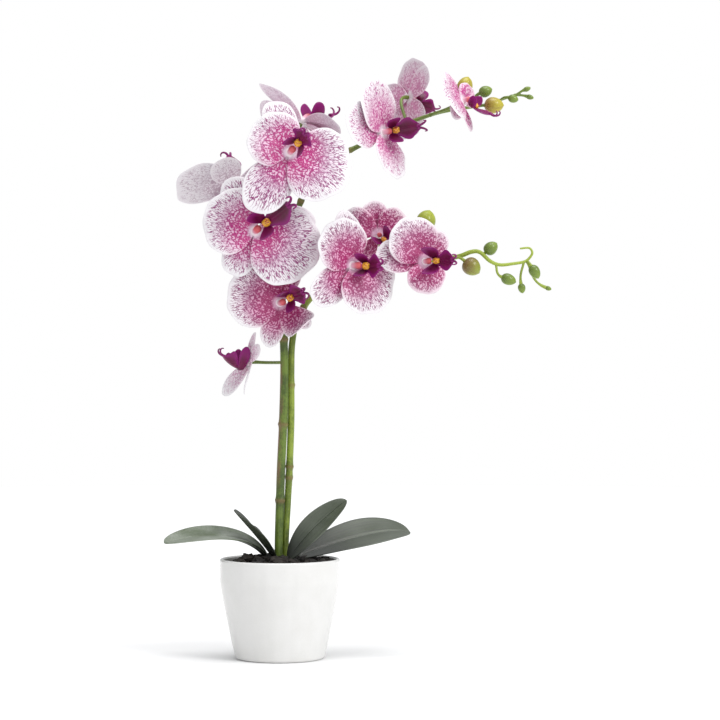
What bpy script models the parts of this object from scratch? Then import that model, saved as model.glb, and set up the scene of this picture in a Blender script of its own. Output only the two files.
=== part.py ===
"""Potted moth orchid: a white tapered pot of bark, five leaves, and two arching spikes of flowers and buds.

Metres, +Z up. The origin is the centre of the pot's underside. The flowers look mostly towards -Y,
and both spikes arch towards +X. Each flower has a rosette of three sepals, a rosette of two petals
that carries the column, and a three-lobed lip.
"""

import math
from typing import NamedTuple

import bmesh
import bpy
from mathutils import Matrix, Vector

MM = 0.001

# Driving dimensions, in millimetres.
POT_HEIGHT = 91.5
POT_RIM_RADIUS = 55.2
POT_BASE_RADIUS = 41.0
POT_SHOULDER_DROP = 20.0
POT_WALL = 3.6
POT_FLOOR = 5.0
POT_EDGE_ROUND = 3.0
POT_STEPS = 48

BARK_BELOW_RIM = 8.5
BARK_CROWN_RISE = 6.0
BARK_STEPS = 32
FIT_GAP = 0.4

SPIKE_A_RADIUS = 3.9
SPIKE_B_RADIUS = 3.2
SPIKE_TIP_SHARE = 0.34
SPIKE_DEPTH = 28.0
SPIKE_APART = 1.0
SPIKE_HEADING = 42.0
STALK_RADIUS = 1.6
STALK_GAP = 0.8
BUD_STALK_RADIUS = 1.1

TEPAL_THICKNESS = 1.2
LIP_THICKNESS = 1.4
TEPAL_LAYER_GAP = 1.8
HUB_RADIUS = 3.4
LEAF_THICKNESS = 2.2

PETAL_LENGTH = 53.0
DRAWN_PETAL_LENGTH = 53.0
SEPAL_LENGTH = 48.0
DRAWN_SEPAL_LENGTH = 48.0
LIP_LENGTH = 30.0
DRAWN_LIP_LENGTH = 30.0
LIP_WING_LENGTH = 21.0
COLUMN_LENGTH = 12.0
COLUMN_RADIUS = 3.4
PETAL_ANGLE = 84.0
LATERAL_ANGLE = 134.0

WHITE = (0.86, 0.86, 0.84)
BARK_BROWN = (0.035, 0.028, 0.022)
SPIKE_GREEN = (0.22, 0.33, 0.09)
LEAF_GREEN = (0.07, 0.11, 0.07)
TEPAL_PINK = (0.80, 0.50, 0.68)
LIP_PURPLE = (0.22, 0.02, 0.15)
BUD_GREEN = (0.35, 0.40, 0.08)


class Lobe(NamedTuple):
    """One blade of a rosette: its direction in degrees, its outline, and how it leaves the flower's plane."""

    angle: float
    half_span: float
    length: float
    fullness: float
    fold: float
    curl: float
    cup: float


class Flower(NamedTuple):
    """Where a flower sits, where it looks (turn to +X, lift to +Z), where its back sepal points, its size,
    and the point of its spike's route that it grows from. lip_dip turns the lip's tongue away from the way the
    flower looks, opposite the back sepal, and lip_turn swings it round the flower's face. changes holds the lobes that differ from the usual.
    Places are in mm from the foot of the flower's spike, which is at the height of the pot's rim."""

    name: str
    spike: str
    station: float
    centre: tuple
    turn: float
    lift: float
    roll: float
    size: float
    lip_dip: float = 50.0
    lip_turn: float = 0.0
    changes: dict = {}


class Bud(NamedTuple):
    """A bud's centre in mm from its spike's foot, the direction of its tip in the X-Z plane, its length and width,
    and the point of the route that it grows from."""

    name: str
    spike: str
    station: float
    centre: tuple
    direction: float
    length: float
    width: float


class Leaf(NamedTuple):
    """A leaf's base, middle control point and tip in mm from the middle of the rim, its half width, and the roll
    of its face about its spine."""

    name: str
    base: tuple
    middle: tuple
    tip: tuple
    half_width: float
    roll: float
    channel: float


SPIKE_ROUTES = {
    "a": [
        (0, 0, -1.5), (0, 0, 18.5), (1, 0, 53.5), (2, 0, 83.5), (4, 0, 127.5), (5, 0, 170.5),
        (4.5, 1, 198.5), (3, 3, 223.5), (3.5, 5, 250.5), (8, 7, 280.5), (14, 8, 308.5), (21, 8, 331.5),
        (34, 7, 353.5), (51, 6, 368.5), (71, 5, 378.5), (102, 4, 394.5), (126, 3, 403.5),
        (148, 2, 410.5), (171, 2, 414.5), (191, 1, 417.5), (206, 0, 422.5), (222, 0, 428),
    ],
    "b": [
        (0, 0, -1.5), (0, 0, 18.5), (2, 0, 53.5), (3.5, 0, 83.5), (5, 0, 127.5), (5, 0.5, 170.5),
        (6, 1.5, 198.5), (11, 3.5, 220.5), (23, 5.5, 239.5), (43, 6.5, 252.5), (70, 6.5, 260.5),
        (100, 4.5, 266.5), (130, 0.5, 272.5), (158, -2.5, 277.5), (171, -4.5, 282), (179, -5.5, 281.5),
        (188, -6.5, 273.5), (197, -6.5, 270), (209, -6.5, 271), (220, -5.5, 273), (225, -5.5, 277),
        (227, -5.5, 281.5), (224, -5.5, 285.5), (216, -5.5, 285),
    ],
}
SPIKE_RADII = {"a": SPIKE_A_RADIUS, "b": SPIKE_B_RADIUS}

# Sepals lie behind a flower's centre and petals in front of it, half of the layer gap and of a sheet each way.
SEPAL_SET_BACK = (TEPAL_LAYER_GAP + TEPAL_THICKNESS) / 2
PETAL_SET_FORWARD = (TEPAL_LAYER_GAP + TEPAL_THICKNESS) / 2

# The routes and the places of flowers and buds are drawn for blades of the drawn lengths. They spread with the
# blade that grew by the largest share, so that the flowers keep clear of each other.
SPREAD = max(
    PETAL_LENGTH / DRAWN_PETAL_LENGTH, SEPAL_LENGTH / DRAWN_SEPAL_LENGTH, LIP_LENGTH / DRAWN_LIP_LENGTH
)

FLOWERS = [
    Flower("flower_01", "a", 9.2, (-42, 36, 346), -145, 45, 270, 1.0, 30, 0, {
        "left_petal": {"angle": 86, "length": 62, "half_span": 62, "fullness": 0.85},
        "lip_tongue": {"length": 22},
    }),
    Flower("flower_02", "a", 11.8, (12, -60, 368), 8, 8, 232, 1.06, 34, -6, {
        "back_sepal": {"angle": 4, "length": 59, "half_span": 50, "fold": 4},
        "left_petal": {"angle": 103, "length": 54, "half_span": 77, "fullness": 0.40},
        "right_petal": {"angle": -92, "length": 39, "half_span": 82, "fullness": 0.38},
        "lip_left_wing": {"length": 15},
        "lip_right_wing": {"length": 15},
        "lip_tongue": {"length": 25},
        "left_sepal": {"angle": 126},
        "right_sepal": {"angle": -126},
    }),
    Flower("flower_03", "a", 13.2, (21, 24, 404), 128, 50, 90, 1.05, 50, 0, {
        "back_sepal": {"angle": 4, "half_span": 34, "length": 56},
        "left_petal": {"angle": 106, "length": 44, "half_span": 36},
        "right_petal": {"half_span": 60},
        "left_sepal": {"half_span": 30, "length": 36},
        "lip_tongue": {"length": 26},
    }),
    Flower("flower_04", "a", 9.8, (-20, -34, 299), 4, 4, 238, 1.14, 66, -24, {
        "left_petal": {"angle": 94, "length": 54, "half_span": 78, "fullness": 0.45},
        "right_petal": {"angle": -82, "length": 43, "half_span": 82, "fullness": 0.38},
        "back_sepal": {"length": 40},
        "right_sepal": {"angle": -122},
        "lip_tongue": {"length": 36},
    }),
    Flower("flower_05", "a", 7.0, (1, -14, 235), 14, -6, 250, 1.0, 50, -34, {
        "lip_left_wing": {"length": 16},
        "lip_right_wing": {"length": 16},
        "back_sepal": {"angle": 8, "length": 42, "half_span": 36},
        "left_petal": {"angle": 60, "fold": 6, "curl": 116, "half_span": 40, "length": 50},
        "right_petal": {"angle": -86, "length": 50, "fullness": 0.45},
        "left_sepal": {"angle": 74, "length": 38, "half_span": 28},
        "right_sepal": {"angle": -176, "length": 42},
        "lip_tongue": {"length": 26},
    }),
    Flower("flower_06", "a", 5.3, (-29, 21, 181), -70, 4, 94, 0.86, -12, 0, {
        "back_sepal": {"length": 32},
        "left_petal": {"angle": 66, "length": 32, "half_span": 32, "fold": 0},
        "right_petal": {"angle": -66, "length": 32, "half_span": 32, "fold": 0},
        "left_sepal": {"fold": 23, "curl": 4, "half_span": 35, "length": 54},
        "right_sepal": {"fold": 19, "curl": 4, "half_span": 35, "length": 54},
        "lip_tongue": {"length": 29, "cup": 3.4},
        "lip_left_wing": {"angle": 76, "half_span": 27, "length": 28},
        "lip_right_wing": {"angle": -76, "half_span": 27, "length": 28},
    }),
    Flower("flower_07", "a", 14.6, (94, -20, 390), 58, 4, 190, 0.95, 50, 0, {
        "back_sepal": {"angle": -20, "length": 52, "half_span": 62, "fullness": 0.7},
        "left_petal": {"fold": 24, "length": 48, "half_span": 66},
        "left_sepal": {"angle": 130},
    }),
    Flower("flower_08", "a", 15.6, (121, 31, 427), 130, -5, 6, 0.78, 50, 30, {
        "left_petal": {"angle": 84, "length": 48, "half_span": 78},
        "right_petal": {"angle": -84, "length": 50, "half_span": 72},
        "lip_tongue": {"length": 24},
    }),
    Flower("flower_09", "a", 16.6, (167, -24, 417.5), 66, 25, 96, 0.90, 70, 0, {
        "back_sepal": {"length": 36, "fold": 8},
        "left_sepal": {"angle": 112, "half_span": 36, "length": 36},
        "right_sepal": {"angle": -176, "half_span": 36, "length": 32},
        "left_petal": {"angle": 84, "half_span": 62, "length": 50},
        "right_petal": {"angle": -68, "fold": 30, "half_span": 64, "length": 27},
        "lip_tongue": {"length": 26},
        "lip_left_wing": {"length": 15},
        "lip_right_wing": {"length": 15},
    }),
    Flower("flower_10", "b", 9.2, (61, -40, 268), 34, 0, 212, 1.04, 24, -36, {
        "lip_left_wing": {"length": 17},
        "lip_right_wing": {"length": 17},
        "left_petal": {"angle": 97, "length": 47, "half_span": 80, "fullness": 0.42, "fold": 18},
        "right_petal": {"angle": -90, "length": 43, "half_span": 80, "fullness": 0.45},
        "back_sepal": {"angle": 10},
        "left_sepal": {"angle": 116, "length": 38},
        "right_sepal": {"angle": -118},
        "lip_tongue": {"length": 24},
    }),
    Flower("flower_11", "b", 10.7, (86, 26, 299), 0, 8, 100, 0.72, 66, 30, {
        "left_petal": {"angle": 50, "half_span": 47},
        "right_petal": {"angle": -58, "half_span": 54, "length": 44},
        "left_sepal": {"half_span": 34},
        "right_sepal": {"half_span": 34},
        "lip_tongue": {"length": 36},
    }),
    Flower("flower_12", "b", 11.3, (127, -34, 272), 18, 0, 192, 0.90, 44, -10, {
        "left_petal": {"angle": 83, "half_span": 76, "length": 33, "fullness": 0.38},
        "right_petal": {"angle": -70, "half_span": 70, "length": 48, "fullness": 0.42},
        "back_sepal": {"angle": -22, "length": 50},
        "left_sepal": {"angle": 104, "length": 34},
        "right_sepal": {"angle": -140, "length": 38},
        "lip_left_wing": {"length": 25},
        "lip_right_wing": {"length": 25},
    }),
]

BUDS = [
    Bud("bud_a1", "a", 17.2, (172, 20, 437), 70, 17, 14.5),
    Bud("bud_a2", "a", 18.2, (190, 0, 429.5), 20, 12.5, 10.5),
    Bud("bud_a3", "a", 18.4, (197, -12, 415.5), 0, 17.5, 15),
    Bud("bud_a4", "a", 19.8, (215, -7, 422), -15, 9.5, 7.5),
    Bud("bud_a5", "a", 20.8, (228, -2, 431.5), 20, 7, 4.6),
    Bud("bud_a6", "a", 20.6, (231, 2, 424.5), -15, 7, 4.6),
    Bud("bud_b1", "b", 11.6, (130, 12.5, 312.5), 70, 18, 18),
    Bud("bud_b2", "b", 12.4, (171, -11.5, 268), -40, 17.5, 16.5),
    Bud("bud_b3", "b", 14.8, (189, -3.5, 285.5), 40, 14, 12),
    Bud("bud_b4", "b", 16.6, (205, -8.5, 256.5), -20, 14, 10.5),
    Bud("bud_b5", "b", 18.9, (217.5, -3.5, 248.5), -80, 9, 7),
    Bud("bud_b6", "b", 19.3, (229, -9.5, 263.5), -60, 13.5, 10),
    Bud("bud_b7", "b", 19.2, (242, -1.5, 248.5), -20, 6, 4.2),
]

LEAVES = [
    Leaf("leaf_left", (-12, 6, 0.5), (-34, -6, 32), (-104, -28, 16.5), 20, -16, 0.20),
    Leaf("leaf_edge", (-3, -14, 1), (-16, -16, 20), (-41, -18, 45.5), 13, 2, 0.22),
    Leaf("leaf_young", (-7, 20, 1), (-14, 22, 14), (-26, 22, 28), 10, 4, 0.22),
    Leaf("leaf_right_upright", (9, -12, 0.5), (28, -16, 30), (61, -12, 54), 12.5, 56, 0.28),
    Leaf("leaf_right", (17, 12, 0.5), (88, 36, 27), (120, 44, 21), 26, 22, 0.16),
]


# ---------------------------------------------------------------- scene and materials


def clear_scene():
    for thing in list(bpy.data.objects):
        bpy.data.objects.remove(thing)


def collection(name, hidden=False):
    made = bpy.data.collections.new(name)
    made.hide_render = hidden
    bpy.context.scene.collection.children.link(made)
    return made


def material(name, colour, roughness):
    made = bpy.data.materials.new(name)
    made.use_nodes = True
    surface = made.node_tree.nodes["Principled BSDF"]
    surface.inputs["Base Color"].default_value = (*colour, 1.0)
    surface.inputs["Roughness"].default_value = roughness
    surface.inputs["Metallic"].default_value = 0.0
    return made


def new_object(name, mesh, home, finish=None):
    made = bpy.data.objects.new(name, mesh)
    home.objects.link(made)
    if finish:
        made.data.materials.append(finish)
    return made


def helper(made):
    """Marks a cutter or a piece that is joined into another."""
    made.hide_render = True
    made.display_type = "WIRE"
    return made


def combine(target, other, operation):
    boolean = target.modifiers.new(operation.title(), "BOOLEAN")
    boolean.operation = operation
    boolean.object = other
    return boolean


# ---------------------------------------------------------------- turned shapes


def turned(name, profile, steps, home, finish):
    """A closed profile of (radius, height) in mm, outer side first and top to bottom, turned about Z."""
    bm = bmesh.new()
    points = [bm.verts.new((radius * MM, 0, height * MM)) for radius, height in profile]
    for first, second in zip(points, points[1:]):
        bm.edges.new((first, second))
    mesh = bpy.data.meshes.new(name)
    bm.to_mesh(mesh)
    bm.free()
    made = new_object(name, mesh, home, finish)
    screw = made.modifiers.new("Screw", "SCREW")
    screw.steps = screw.render_steps = steps
    screw.use_merge_vertices = True
    screw.merge_threshold = 0.00005
    return made


def wall_radius(height):
    """The pot's outer radius at a height: upright at the shoulder, then narrowing to the base in a soft bow."""
    shoulder = POT_HEIGHT - POT_SHOULDER_DROP
    if height >= shoulder:
        return POT_RIM_RADIUS
    down = 1.0 - height / shoulder
    return POT_RIM_RADIUS - (POT_RIM_RADIUS - POT_BASE_RADIUS) * down ** 1.15


def pot_profile():
    levels = [POT_HEIGHT * share for share in (0.78, 0.6, 0.42, 0.26, 0.12)]
    outer = [(wall_radius(level), level) for level in levels]
    inner = [(radius - POT_WALL, level) for radius, level in reversed(outer[:-1])]
    rim_half = POT_WALL / 2
    rim = [
        (POT_RIM_RADIUS - POT_WALL, POT_HEIGHT - rim_half / 2),
        (POT_RIM_RADIUS - rim_half, POT_HEIGHT),
        (POT_RIM_RADIUS, POT_HEIGHT - rim_half / 2),
    ]
    base = wall_radius(POT_EDGE_ROUND)
    foot = [
        (base, POT_EDGE_ROUND),
        (base - POT_EDGE_ROUND * 0.3, POT_EDGE_ROUND * 0.3),
        (base - POT_EDGE_ROUND, 0),
        (0, 0),
    ]
    floor = [(0, POT_FLOOR), (wall_radius(POT_FLOOR) - POT_WALL, POT_FLOOR)]
    return rim[1:] + outer + foot + floor + inner + [rim[0], rim[1]]


def bark_profile():
    top = POT_HEIGHT - BARK_BELOW_RIM
    bottom = POT_FLOOR + FIT_GAP
    inset = POT_WALL + FIT_GAP
    levels = [top, POT_HEIGHT * 0.6, POT_HEIGHT * 0.42, POT_HEIGHT * 0.26, bottom]
    side = [(wall_radius(level) - inset, level) for level in levels]
    crown = [(0, top + BARK_CROWN_RISE), (side[0][0] * 0.55, top + BARK_CROWN_RISE * 0.8)]
    return crown + side + [(0, bottom)]


# ---------------------------------------------------------------- spikes, stalks and buds


def spike_foot(key):
    """Where a spike passes the height of the rim. Spike B stands beside spike A, SPIKE_APART clear of it."""
    foot = Vector((-1, 0, POT_HEIGHT))
    if key == "b":
        heading = math.radians(SPIKE_HEADING)
        reach = SPIKE_A_RADIUS + SPIKE_B_RADIUS + SPIKE_APART
        foot += Vector((math.cos(heading), math.sin(heading), 0)) * reach
    return foot


def spike_place(key, offset):
    return spike_foot(key) + Vector(offset) * SPREAD


def route_point(key, station):
    """A point of the smooth curve through the route's points; station 2.5 lies between the third and fourth."""
    route = [spike_place(key, offset) for offset in SPIKE_ROUTES[key]]
    station = min(max(station, 0.0), len(route) - 1.0)
    first = min(int(station), len(route) - 2)
    share = station - first
    corners = [route[min(max(first + step, 0), len(route) - 1)] for step in (-1, 0, 1, 2)]
    before, start, end, after = corners
    return 0.5 * (
        2 * start
        + (end - before) * share
        + (2 * before - 5 * start + 4 * end - after) * share ** 2
        + (3 * start - before - 3 * end + after) * share ** 3
    )


def tube(name, points, radii, home, finish=None, resolution=1):
    """A closed round tube through points, in mm, as a mesh object."""
    curve = bpy.data.curves.new(name, "CURVE")
    curve.dimensions = "3D"
    curve.bevel_depth = MM
    curve.bevel_resolution = resolution
    curve.use_fill_caps = True
    spline = curve.splines.new("POLY")
    spline.points.add(len(points) - 1)
    for knot, point, radius in zip(spline.points, points, radii):
        knot.co = (*(Vector(point) * MM), 1.0)
        knot.radius = radius
    line = bpy.data.objects.new(name + "_line", curve)
    home.objects.link(line)
    graph = bpy.context.evaluated_depsgraph_get()
    mesh = bpy.data.meshes.new_from_object(line.evaluated_get(graph))
    bm = bmesh.new()
    bm.from_mesh(mesh)
    bmesh.ops.remove_doubles(bm, verts=bm.verts, dist=0.00001)
    bmesh.ops.recalc_face_normals(bm, faces=bm.faces)
    bm.to_mesh(mesh)
    bm.free()
    made = new_object(name, mesh, home, finish)
    made.matrix_world = line.matrix_world
    bpy.data.objects.remove(line)
    return made


def bezier(start, start_pull, end_pull, end, count):
    points = []
    for step in range(count + 1):
        t = step / count
        points.append(
            start * (1 - t) ** 3
            + start_pull * 3 * t * (1 - t) ** 2
            + end_pull * 3 * t ** 2 * (1 - t)
            + end * t ** 3
        )
    return points


def spike(key, home, finish):
    """The main axis of one spike, from inside the bark to its tip, thinning along its arch."""
    radius = SPIKE_RADII[key]
    last = len(SPIKE_ROUTES[key]) - 1
    stations = [last * step / 46 for step in range(47)]
    foot = spike_foot(key) - Vector((0, 0, SPIKE_DEPTH))
    points = [foot] + [route_point(key, station) for station in stations]
    shares = [0.0] + [station / last for station in stations]
    radii = [radius * (1 - (1 - SPIKE_TIP_SHARE) * max(share - 0.2, 0) / 0.8) for share in shares]
    return tube("spike_" + key, points, radii, home, finish)


def grow_stalk(name, start, end, heading, radius, helpers):
    """A short stalk that leaves the spike at start and arrives at end along heading."""
    reach = (end - start).length
    pull = min(reach * 0.5, 22.0)
    outward = (end - start).normalized()
    points = bezier(start, start + outward * pull * 0.6, end - heading * pull, end, 5)
    return helper(tube(name, points, [radius] * len(points), helpers, resolution=0))


def bud(spec, home, helpers, finish, stalks):
    angle = math.radians(spec.direction)
    tip = Vector((math.cos(angle), 0, math.sin(angle)))
    centre = spike_place(spec.spike, spec.centre)
    bpy.ops.mesh.primitive_uv_sphere_add(segments=10, ring_count=7, radius=0.5)
    made = bpy.context.object
    made.name = spec.name
    made.data.name = spec.name
    made.data.transform(Matrix.Diagonal((spec.width * MM, spec.width * MM, spec.length * MM, 1)))
    made.data.materials.append(finish)
    made.data.shade_smooth()
    for group in list(made.users_collection):
        group.objects.unlink(made)
    home.objects.link(made)
    made.rotation_mode = "QUATERNION"
    made.rotation_quaternion = Vector((0, 0, 1)).rotation_difference(tip)
    made.location = centre * MM
    start = route_point(spec.spike, spec.station)
    end = centre - tip * (spec.length / 2 + STALK_GAP)
    stalks.append(grow_stalk(spec.name + "_stalk", start, end, tip, BUD_STALK_RADIUS, helpers))
    return made


# ---------------------------------------------------------------- flowers


def lobe_reach(lobe, offset):
    """Distance in mm from the rosette's centre to the lobe's edge, offset degrees from the lobe's own direction."""
    share = min(abs(offset) / lobe.half_span, 1.0)
    return HUB_RADIUS + (lobe.length - HUB_RADIUS) * math.cos(math.pi / 2 * share) ** lobe.fullness


def lobe_point(lobe, offset, share):
    """A point of the lobe, share of the way out from the centre: past the hub the flat sheet folds by lobe.fold,
    goes on turning by lobe.curl over its length, and its sides rise by lobe.cup."""
    distance = lobe_reach(lobe, offset) * share
    along = distance * math.cos(math.radians(offset))
    across = distance * math.sin(math.radians(offset))
    fold = math.radians(lobe.fold)
    turning = math.radians(lobe.curl) / lobe.length
    past = max(along - HUB_RADIUS, 0.0)
    if abs(turning) > 1e-6:
        out = (math.sin(fold + turning * past) - math.sin(fold)) / turning
        rise = (math.cos(fold) - math.cos(fold + turning * past)) / turning
    else:
        out = past * math.cos(fold)
        rise = past * math.sin(fold)
    rise += lobe.cup * across ** 2 / lobe.length
    local = Vector((min(along, HUB_RADIUS) + out, across, rise))
    return Matrix.Rotation(math.radians(lobe.angle), 3, "Z") @ local


def rosette(name, lobes, frame, thickness, rings, steps, home, finish):
    """A disc with a lobe for each entry, as one sheet given its thickness. Spokes run round it lobe by lobe."""
    spokes = [
        (lobe, lobe.half_span * (2 * step / steps - 1))
        for lobe in lobes
        for step in range(steps + 1)
    ]
    bm = bmesh.new()
    bmesh.ops.create_grid(bm, x_segments=len(spokes), y_segments=rings, size=0.5)
    for corner in bm.verts:
        column = round((corner.co.x + 0.5) * len(spokes)) % len(spokes)
        share = round((corner.co.y + 0.5) * rings) / rings
        lobe, offset = spokes[column]
        corner.co = lobe_point(lobe, offset, share) * MM
    bmesh.ops.remove_doubles(bm, verts=bm.verts, dist=0.00001)
    bmesh.ops.recalc_face_normals(bm, faces=bm.faces)
    mesh = bpy.data.meshes.new(name)
    bm.to_mesh(mesh)
    bm.free()
    mesh.shade_smooth()
    made = new_object(name, mesh, home, finish)
    made.matrix_world = frame
    wall = made.modifiers.new("Solidify", "SOLIDIFY")
    wall.thickness = thickness * MM
    wall.offset = 0.0
    return made


def flower_axes(spec):
    """The flower's own axes in the part's frame: towards its back sepal, to that sepal's left, and out of its face."""
    turn, lift, roll = (math.radians(angle) for angle in (spec.turn, spec.lift, spec.roll))
    face = Vector((math.sin(turn) * math.cos(lift), -math.cos(turn) * math.cos(lift), math.sin(lift)))
    right = Vector((math.cos(turn), math.sin(turn), 0))
    up = face.cross(right)
    back_sepal = right * math.cos(roll) + up * math.sin(roll)
    return back_sepal, face.cross(back_sepal), face


def placed(origin, first, second, third):
    frame = Matrix((first, second, third)).transposed().to_4x4()
    frame.translation = origin * MM
    return frame


def changed(spec, key, lobe):
    """The lobe with the flower's own changes, and its length at the flower's size."""
    lobe = lobe._replace(**spec.changes.get(key, {}))
    return lobe._replace(length=lobe.length * spec.size)


def sepal_lobes(spec):
    return [
        changed(spec, "back_sepal", Lobe(0, 48, SEPAL_LENGTH, 0.75, 2, -14, 0.25)),
        changed(spec, "left_sepal", Lobe(LATERAL_ANGLE, 45, SEPAL_LENGTH, 0.8, 2, -12, 0.2)),
        changed(spec, "right_sepal", Lobe(-LATERAL_ANGLE, 45, SEPAL_LENGTH, 0.8, 2, -12, 0.2)),
    ]


def petal_lobes(spec):
    return [
        changed(spec, "left_petal", Lobe(PETAL_ANGLE, 80, PETAL_LENGTH, 0.52, 7, -12, 0.12)),
        changed(spec, "right_petal", Lobe(-PETAL_ANGLE, 80, PETAL_LENGTH, 0.52, 7, -12, 0.12)),
    ]


def lip_lobes(spec):
    return [
        changed(spec, "lip_tongue", Lobe(0, 44, LIP_LENGTH, 1.3, 0, 40, 0.6)),
        changed(spec, "lip_left_wing", Lobe(96, 44, LIP_WING_LENGTH, 0.8, 46, 40, 0.0)),
        changed(spec, "lip_right_wing", Lobe(-96, 44, LIP_WING_LENGTH, 0.8, 46, 40, 0.0)),
    ]


def column(spec, frame, helpers):
    """The finger over the lip that joins the two petals: an egg shape standing on the flower's face."""
    bpy.ops.mesh.primitive_uv_sphere_add(segments=8, ring_count=6, radius=1.0)
    made = bpy.context.object
    made.name = spec.name + "_column"
    half = COLUMN_LENGTH * spec.size * MM / 2
    radius = COLUMN_RADIUS * spec.size * MM
    made.data.transform(Matrix.Diagonal((radius, radius, half, 1)))
    made.data.transform(Matrix.Translation((0, 0, half * 0.95)))
    for group in list(made.users_collection):
        group.objects.unlink(made)
    helpers.objects.link(made)
    made.matrix_world = frame
    return helper(made)


def flower(spec, home, helpers, tepal, purple, stalks):
    back_sepal, left, face = flower_axes(spec)
    centre = spike_place(spec.spike, spec.centre)
    sepal_frame = placed(centre - face * SEPAL_SET_BACK, back_sepal, left, face)
    rosette(spec.name + "_sepals", sepal_lobes(spec), sepal_frame, TEPAL_THICKNESS, 2, 7, home, tepal)

    petal_frame = placed(centre + face * PETAL_SET_FORWARD, back_sepal, left, face)
    petals = rosette(
        spec.name + "_petals", petal_lobes(spec), petal_frame, TEPAL_THICKNESS, 2, 10, home, tepal
    )
    combine(petals, column(spec, petal_frame, helpers), "UNION")

    dip = math.radians(spec.lip_dip)
    swing = Matrix.Rotation(math.radians(spec.lip_turn), 3, face)
    away = swing @ -back_sepal
    tongue = face * math.cos(dip) + away * math.sin(dip)
    over = face * math.sin(dip) - away * math.cos(dip)
    seat = centre + (face * 8.0 + away * 9.0) * spec.size
    lip_frame = placed(seat, tongue, over.cross(tongue), over)
    rosette(spec.name + "_lip", lip_lobes(spec), lip_frame, LIP_THICKNESS, 2, 6, home, purple)

    start = route_point(spec.spike, spec.station)
    end = centre - face * (SEPAL_SET_BACK + TEPAL_THICKNESS / 2 + STALK_GAP)
    stalks.append(grow_stalk(spec.name + "_stalk", start, end, face, STALK_RADIUS, helpers))


# ---------------------------------------------------------------- leaves


def leaf(spec, home, finish):
    """A strap of a leaf: a grid laid along a curved spine, widest past its middle, with a channel down it."""
    rim = Vector((0, 0, POT_HEIGHT))
    base, middle, tip = (rim + Vector(place) for place in (spec.base, spec.middle, spec.tip))
    bm = bmesh.new()
    bmesh.ops.create_grid(bm, x_segments=8, y_segments=4, size=0.5)
    for corner in bm.verts:
        t = corner.co.x + 0.5
        side = corner.co.y * 2
        spine = base * (1 - t) ** 2 + middle * 2 * t * (1 - t) + tip * t ** 2
        heading = ((middle - base) * (1 - t) + (tip - middle) * t).normalized()
        flat = heading.cross(Vector((0, 0, 1))).normalized()
        flat = Matrix.Rotation(math.radians(spec.roll), 3, heading) @ flat
        up = flat.cross(heading)
        width = spec.half_width * (0.24 + 0.76 * math.sin(math.pi * min(t, 0.97) ** 0.85) ** 0.7)
        width *= 1 - max(t - 0.88, 0) * 5.5
        corner.co = (spine + flat * side * width + up * spec.channel * abs(side) ** 1.5 * width) * MM
    bmesh.ops.recalc_face_normals(bm, faces=bm.faces)
    mesh = bpy.data.meshes.new(spec.name)
    bm.to_mesh(mesh)
    bm.free()
    mesh.shade_smooth()
    made = new_object(spec.name, mesh, home, finish)
    wall = made.modifiers.new("Solidify", "SOLIDIFY")
    wall.thickness = LEAF_THICKNESS * MM
    wall.offset = 0.0
    return made


# ---------------------------------------------------------------- the whole plant


def main():
    clear_scene()
    plant = collection("potted_orchid")
    helpers = collection("joined_and_cut", hidden=True)
    white = material("white_glaze", WHITE, 0.3)
    brown = material("bark", BARK_BROWN, 0.95)
    green = material("spike_green", SPIKE_GREEN, 0.55)
    dark_green = material("leaf_green", LEAF_GREEN, 0.5)
    pink = material("tepal", TEPAL_PINK, 0.6)
    purple = material("lip", LIP_PURPLE, 0.5)
    lime = material("bud", BUD_GREEN, 0.45)

    turned("pot", pot_profile(), POT_STEPS, plant, white)
    bark = turned("bark", bark_profile(), BARK_STEPS, plant, brown)
    for key in SPIKE_ROUTES:
        top = spike_foot(key) + Vector((0, 0, BARK_CROWN_RISE))
        bottom = spike_foot(key) - Vector((0, 0, SPIKE_DEPTH + FIT_GAP))
        hole = helper(tube("hole_" + key, [bottom, top], [SPIKE_RADII[key] + FIT_GAP] * 2, helpers, None, 2))
        combine(bark, hole, "DIFFERENCE")

    stalks = {key: [] for key in SPIKE_ROUTES}
    for spec in FLOWERS:
        flower(spec, plant, helpers, pink, purple, stalks[spec.spike])
    for spec in BUDS:
        bud(spec, plant, helpers, lime, stalks[spec.spike])
    for key in SPIKE_ROUTES:
        axis = spike(key, plant, green)
        for stalk in stalks[key]:
            combine(axis, stalk, "UNION")
    for spec in LEAVES:
        leaf(spec, plant, dark_green)


main()
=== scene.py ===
"""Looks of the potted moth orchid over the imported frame: glazed pot, bark, leaves, two spikes, flowers, buds.

Shapes are worked out in millimetres from the pot's underside, and put_piece turns them into metres.
"""

import math
from typing import NamedTuple

import bpy
import numpy as np
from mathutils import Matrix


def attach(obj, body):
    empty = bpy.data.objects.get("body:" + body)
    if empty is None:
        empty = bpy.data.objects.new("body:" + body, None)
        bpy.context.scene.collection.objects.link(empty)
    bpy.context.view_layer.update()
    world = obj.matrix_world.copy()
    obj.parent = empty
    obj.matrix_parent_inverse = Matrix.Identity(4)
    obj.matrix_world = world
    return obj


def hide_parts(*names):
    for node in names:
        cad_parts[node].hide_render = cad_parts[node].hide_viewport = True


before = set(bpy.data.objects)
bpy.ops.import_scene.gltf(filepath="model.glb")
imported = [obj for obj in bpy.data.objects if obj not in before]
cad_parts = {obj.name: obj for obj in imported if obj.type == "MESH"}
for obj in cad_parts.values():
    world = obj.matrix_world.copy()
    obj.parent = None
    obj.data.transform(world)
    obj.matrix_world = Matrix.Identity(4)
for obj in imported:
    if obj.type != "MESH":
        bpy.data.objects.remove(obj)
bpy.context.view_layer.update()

MM = 0.001

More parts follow.
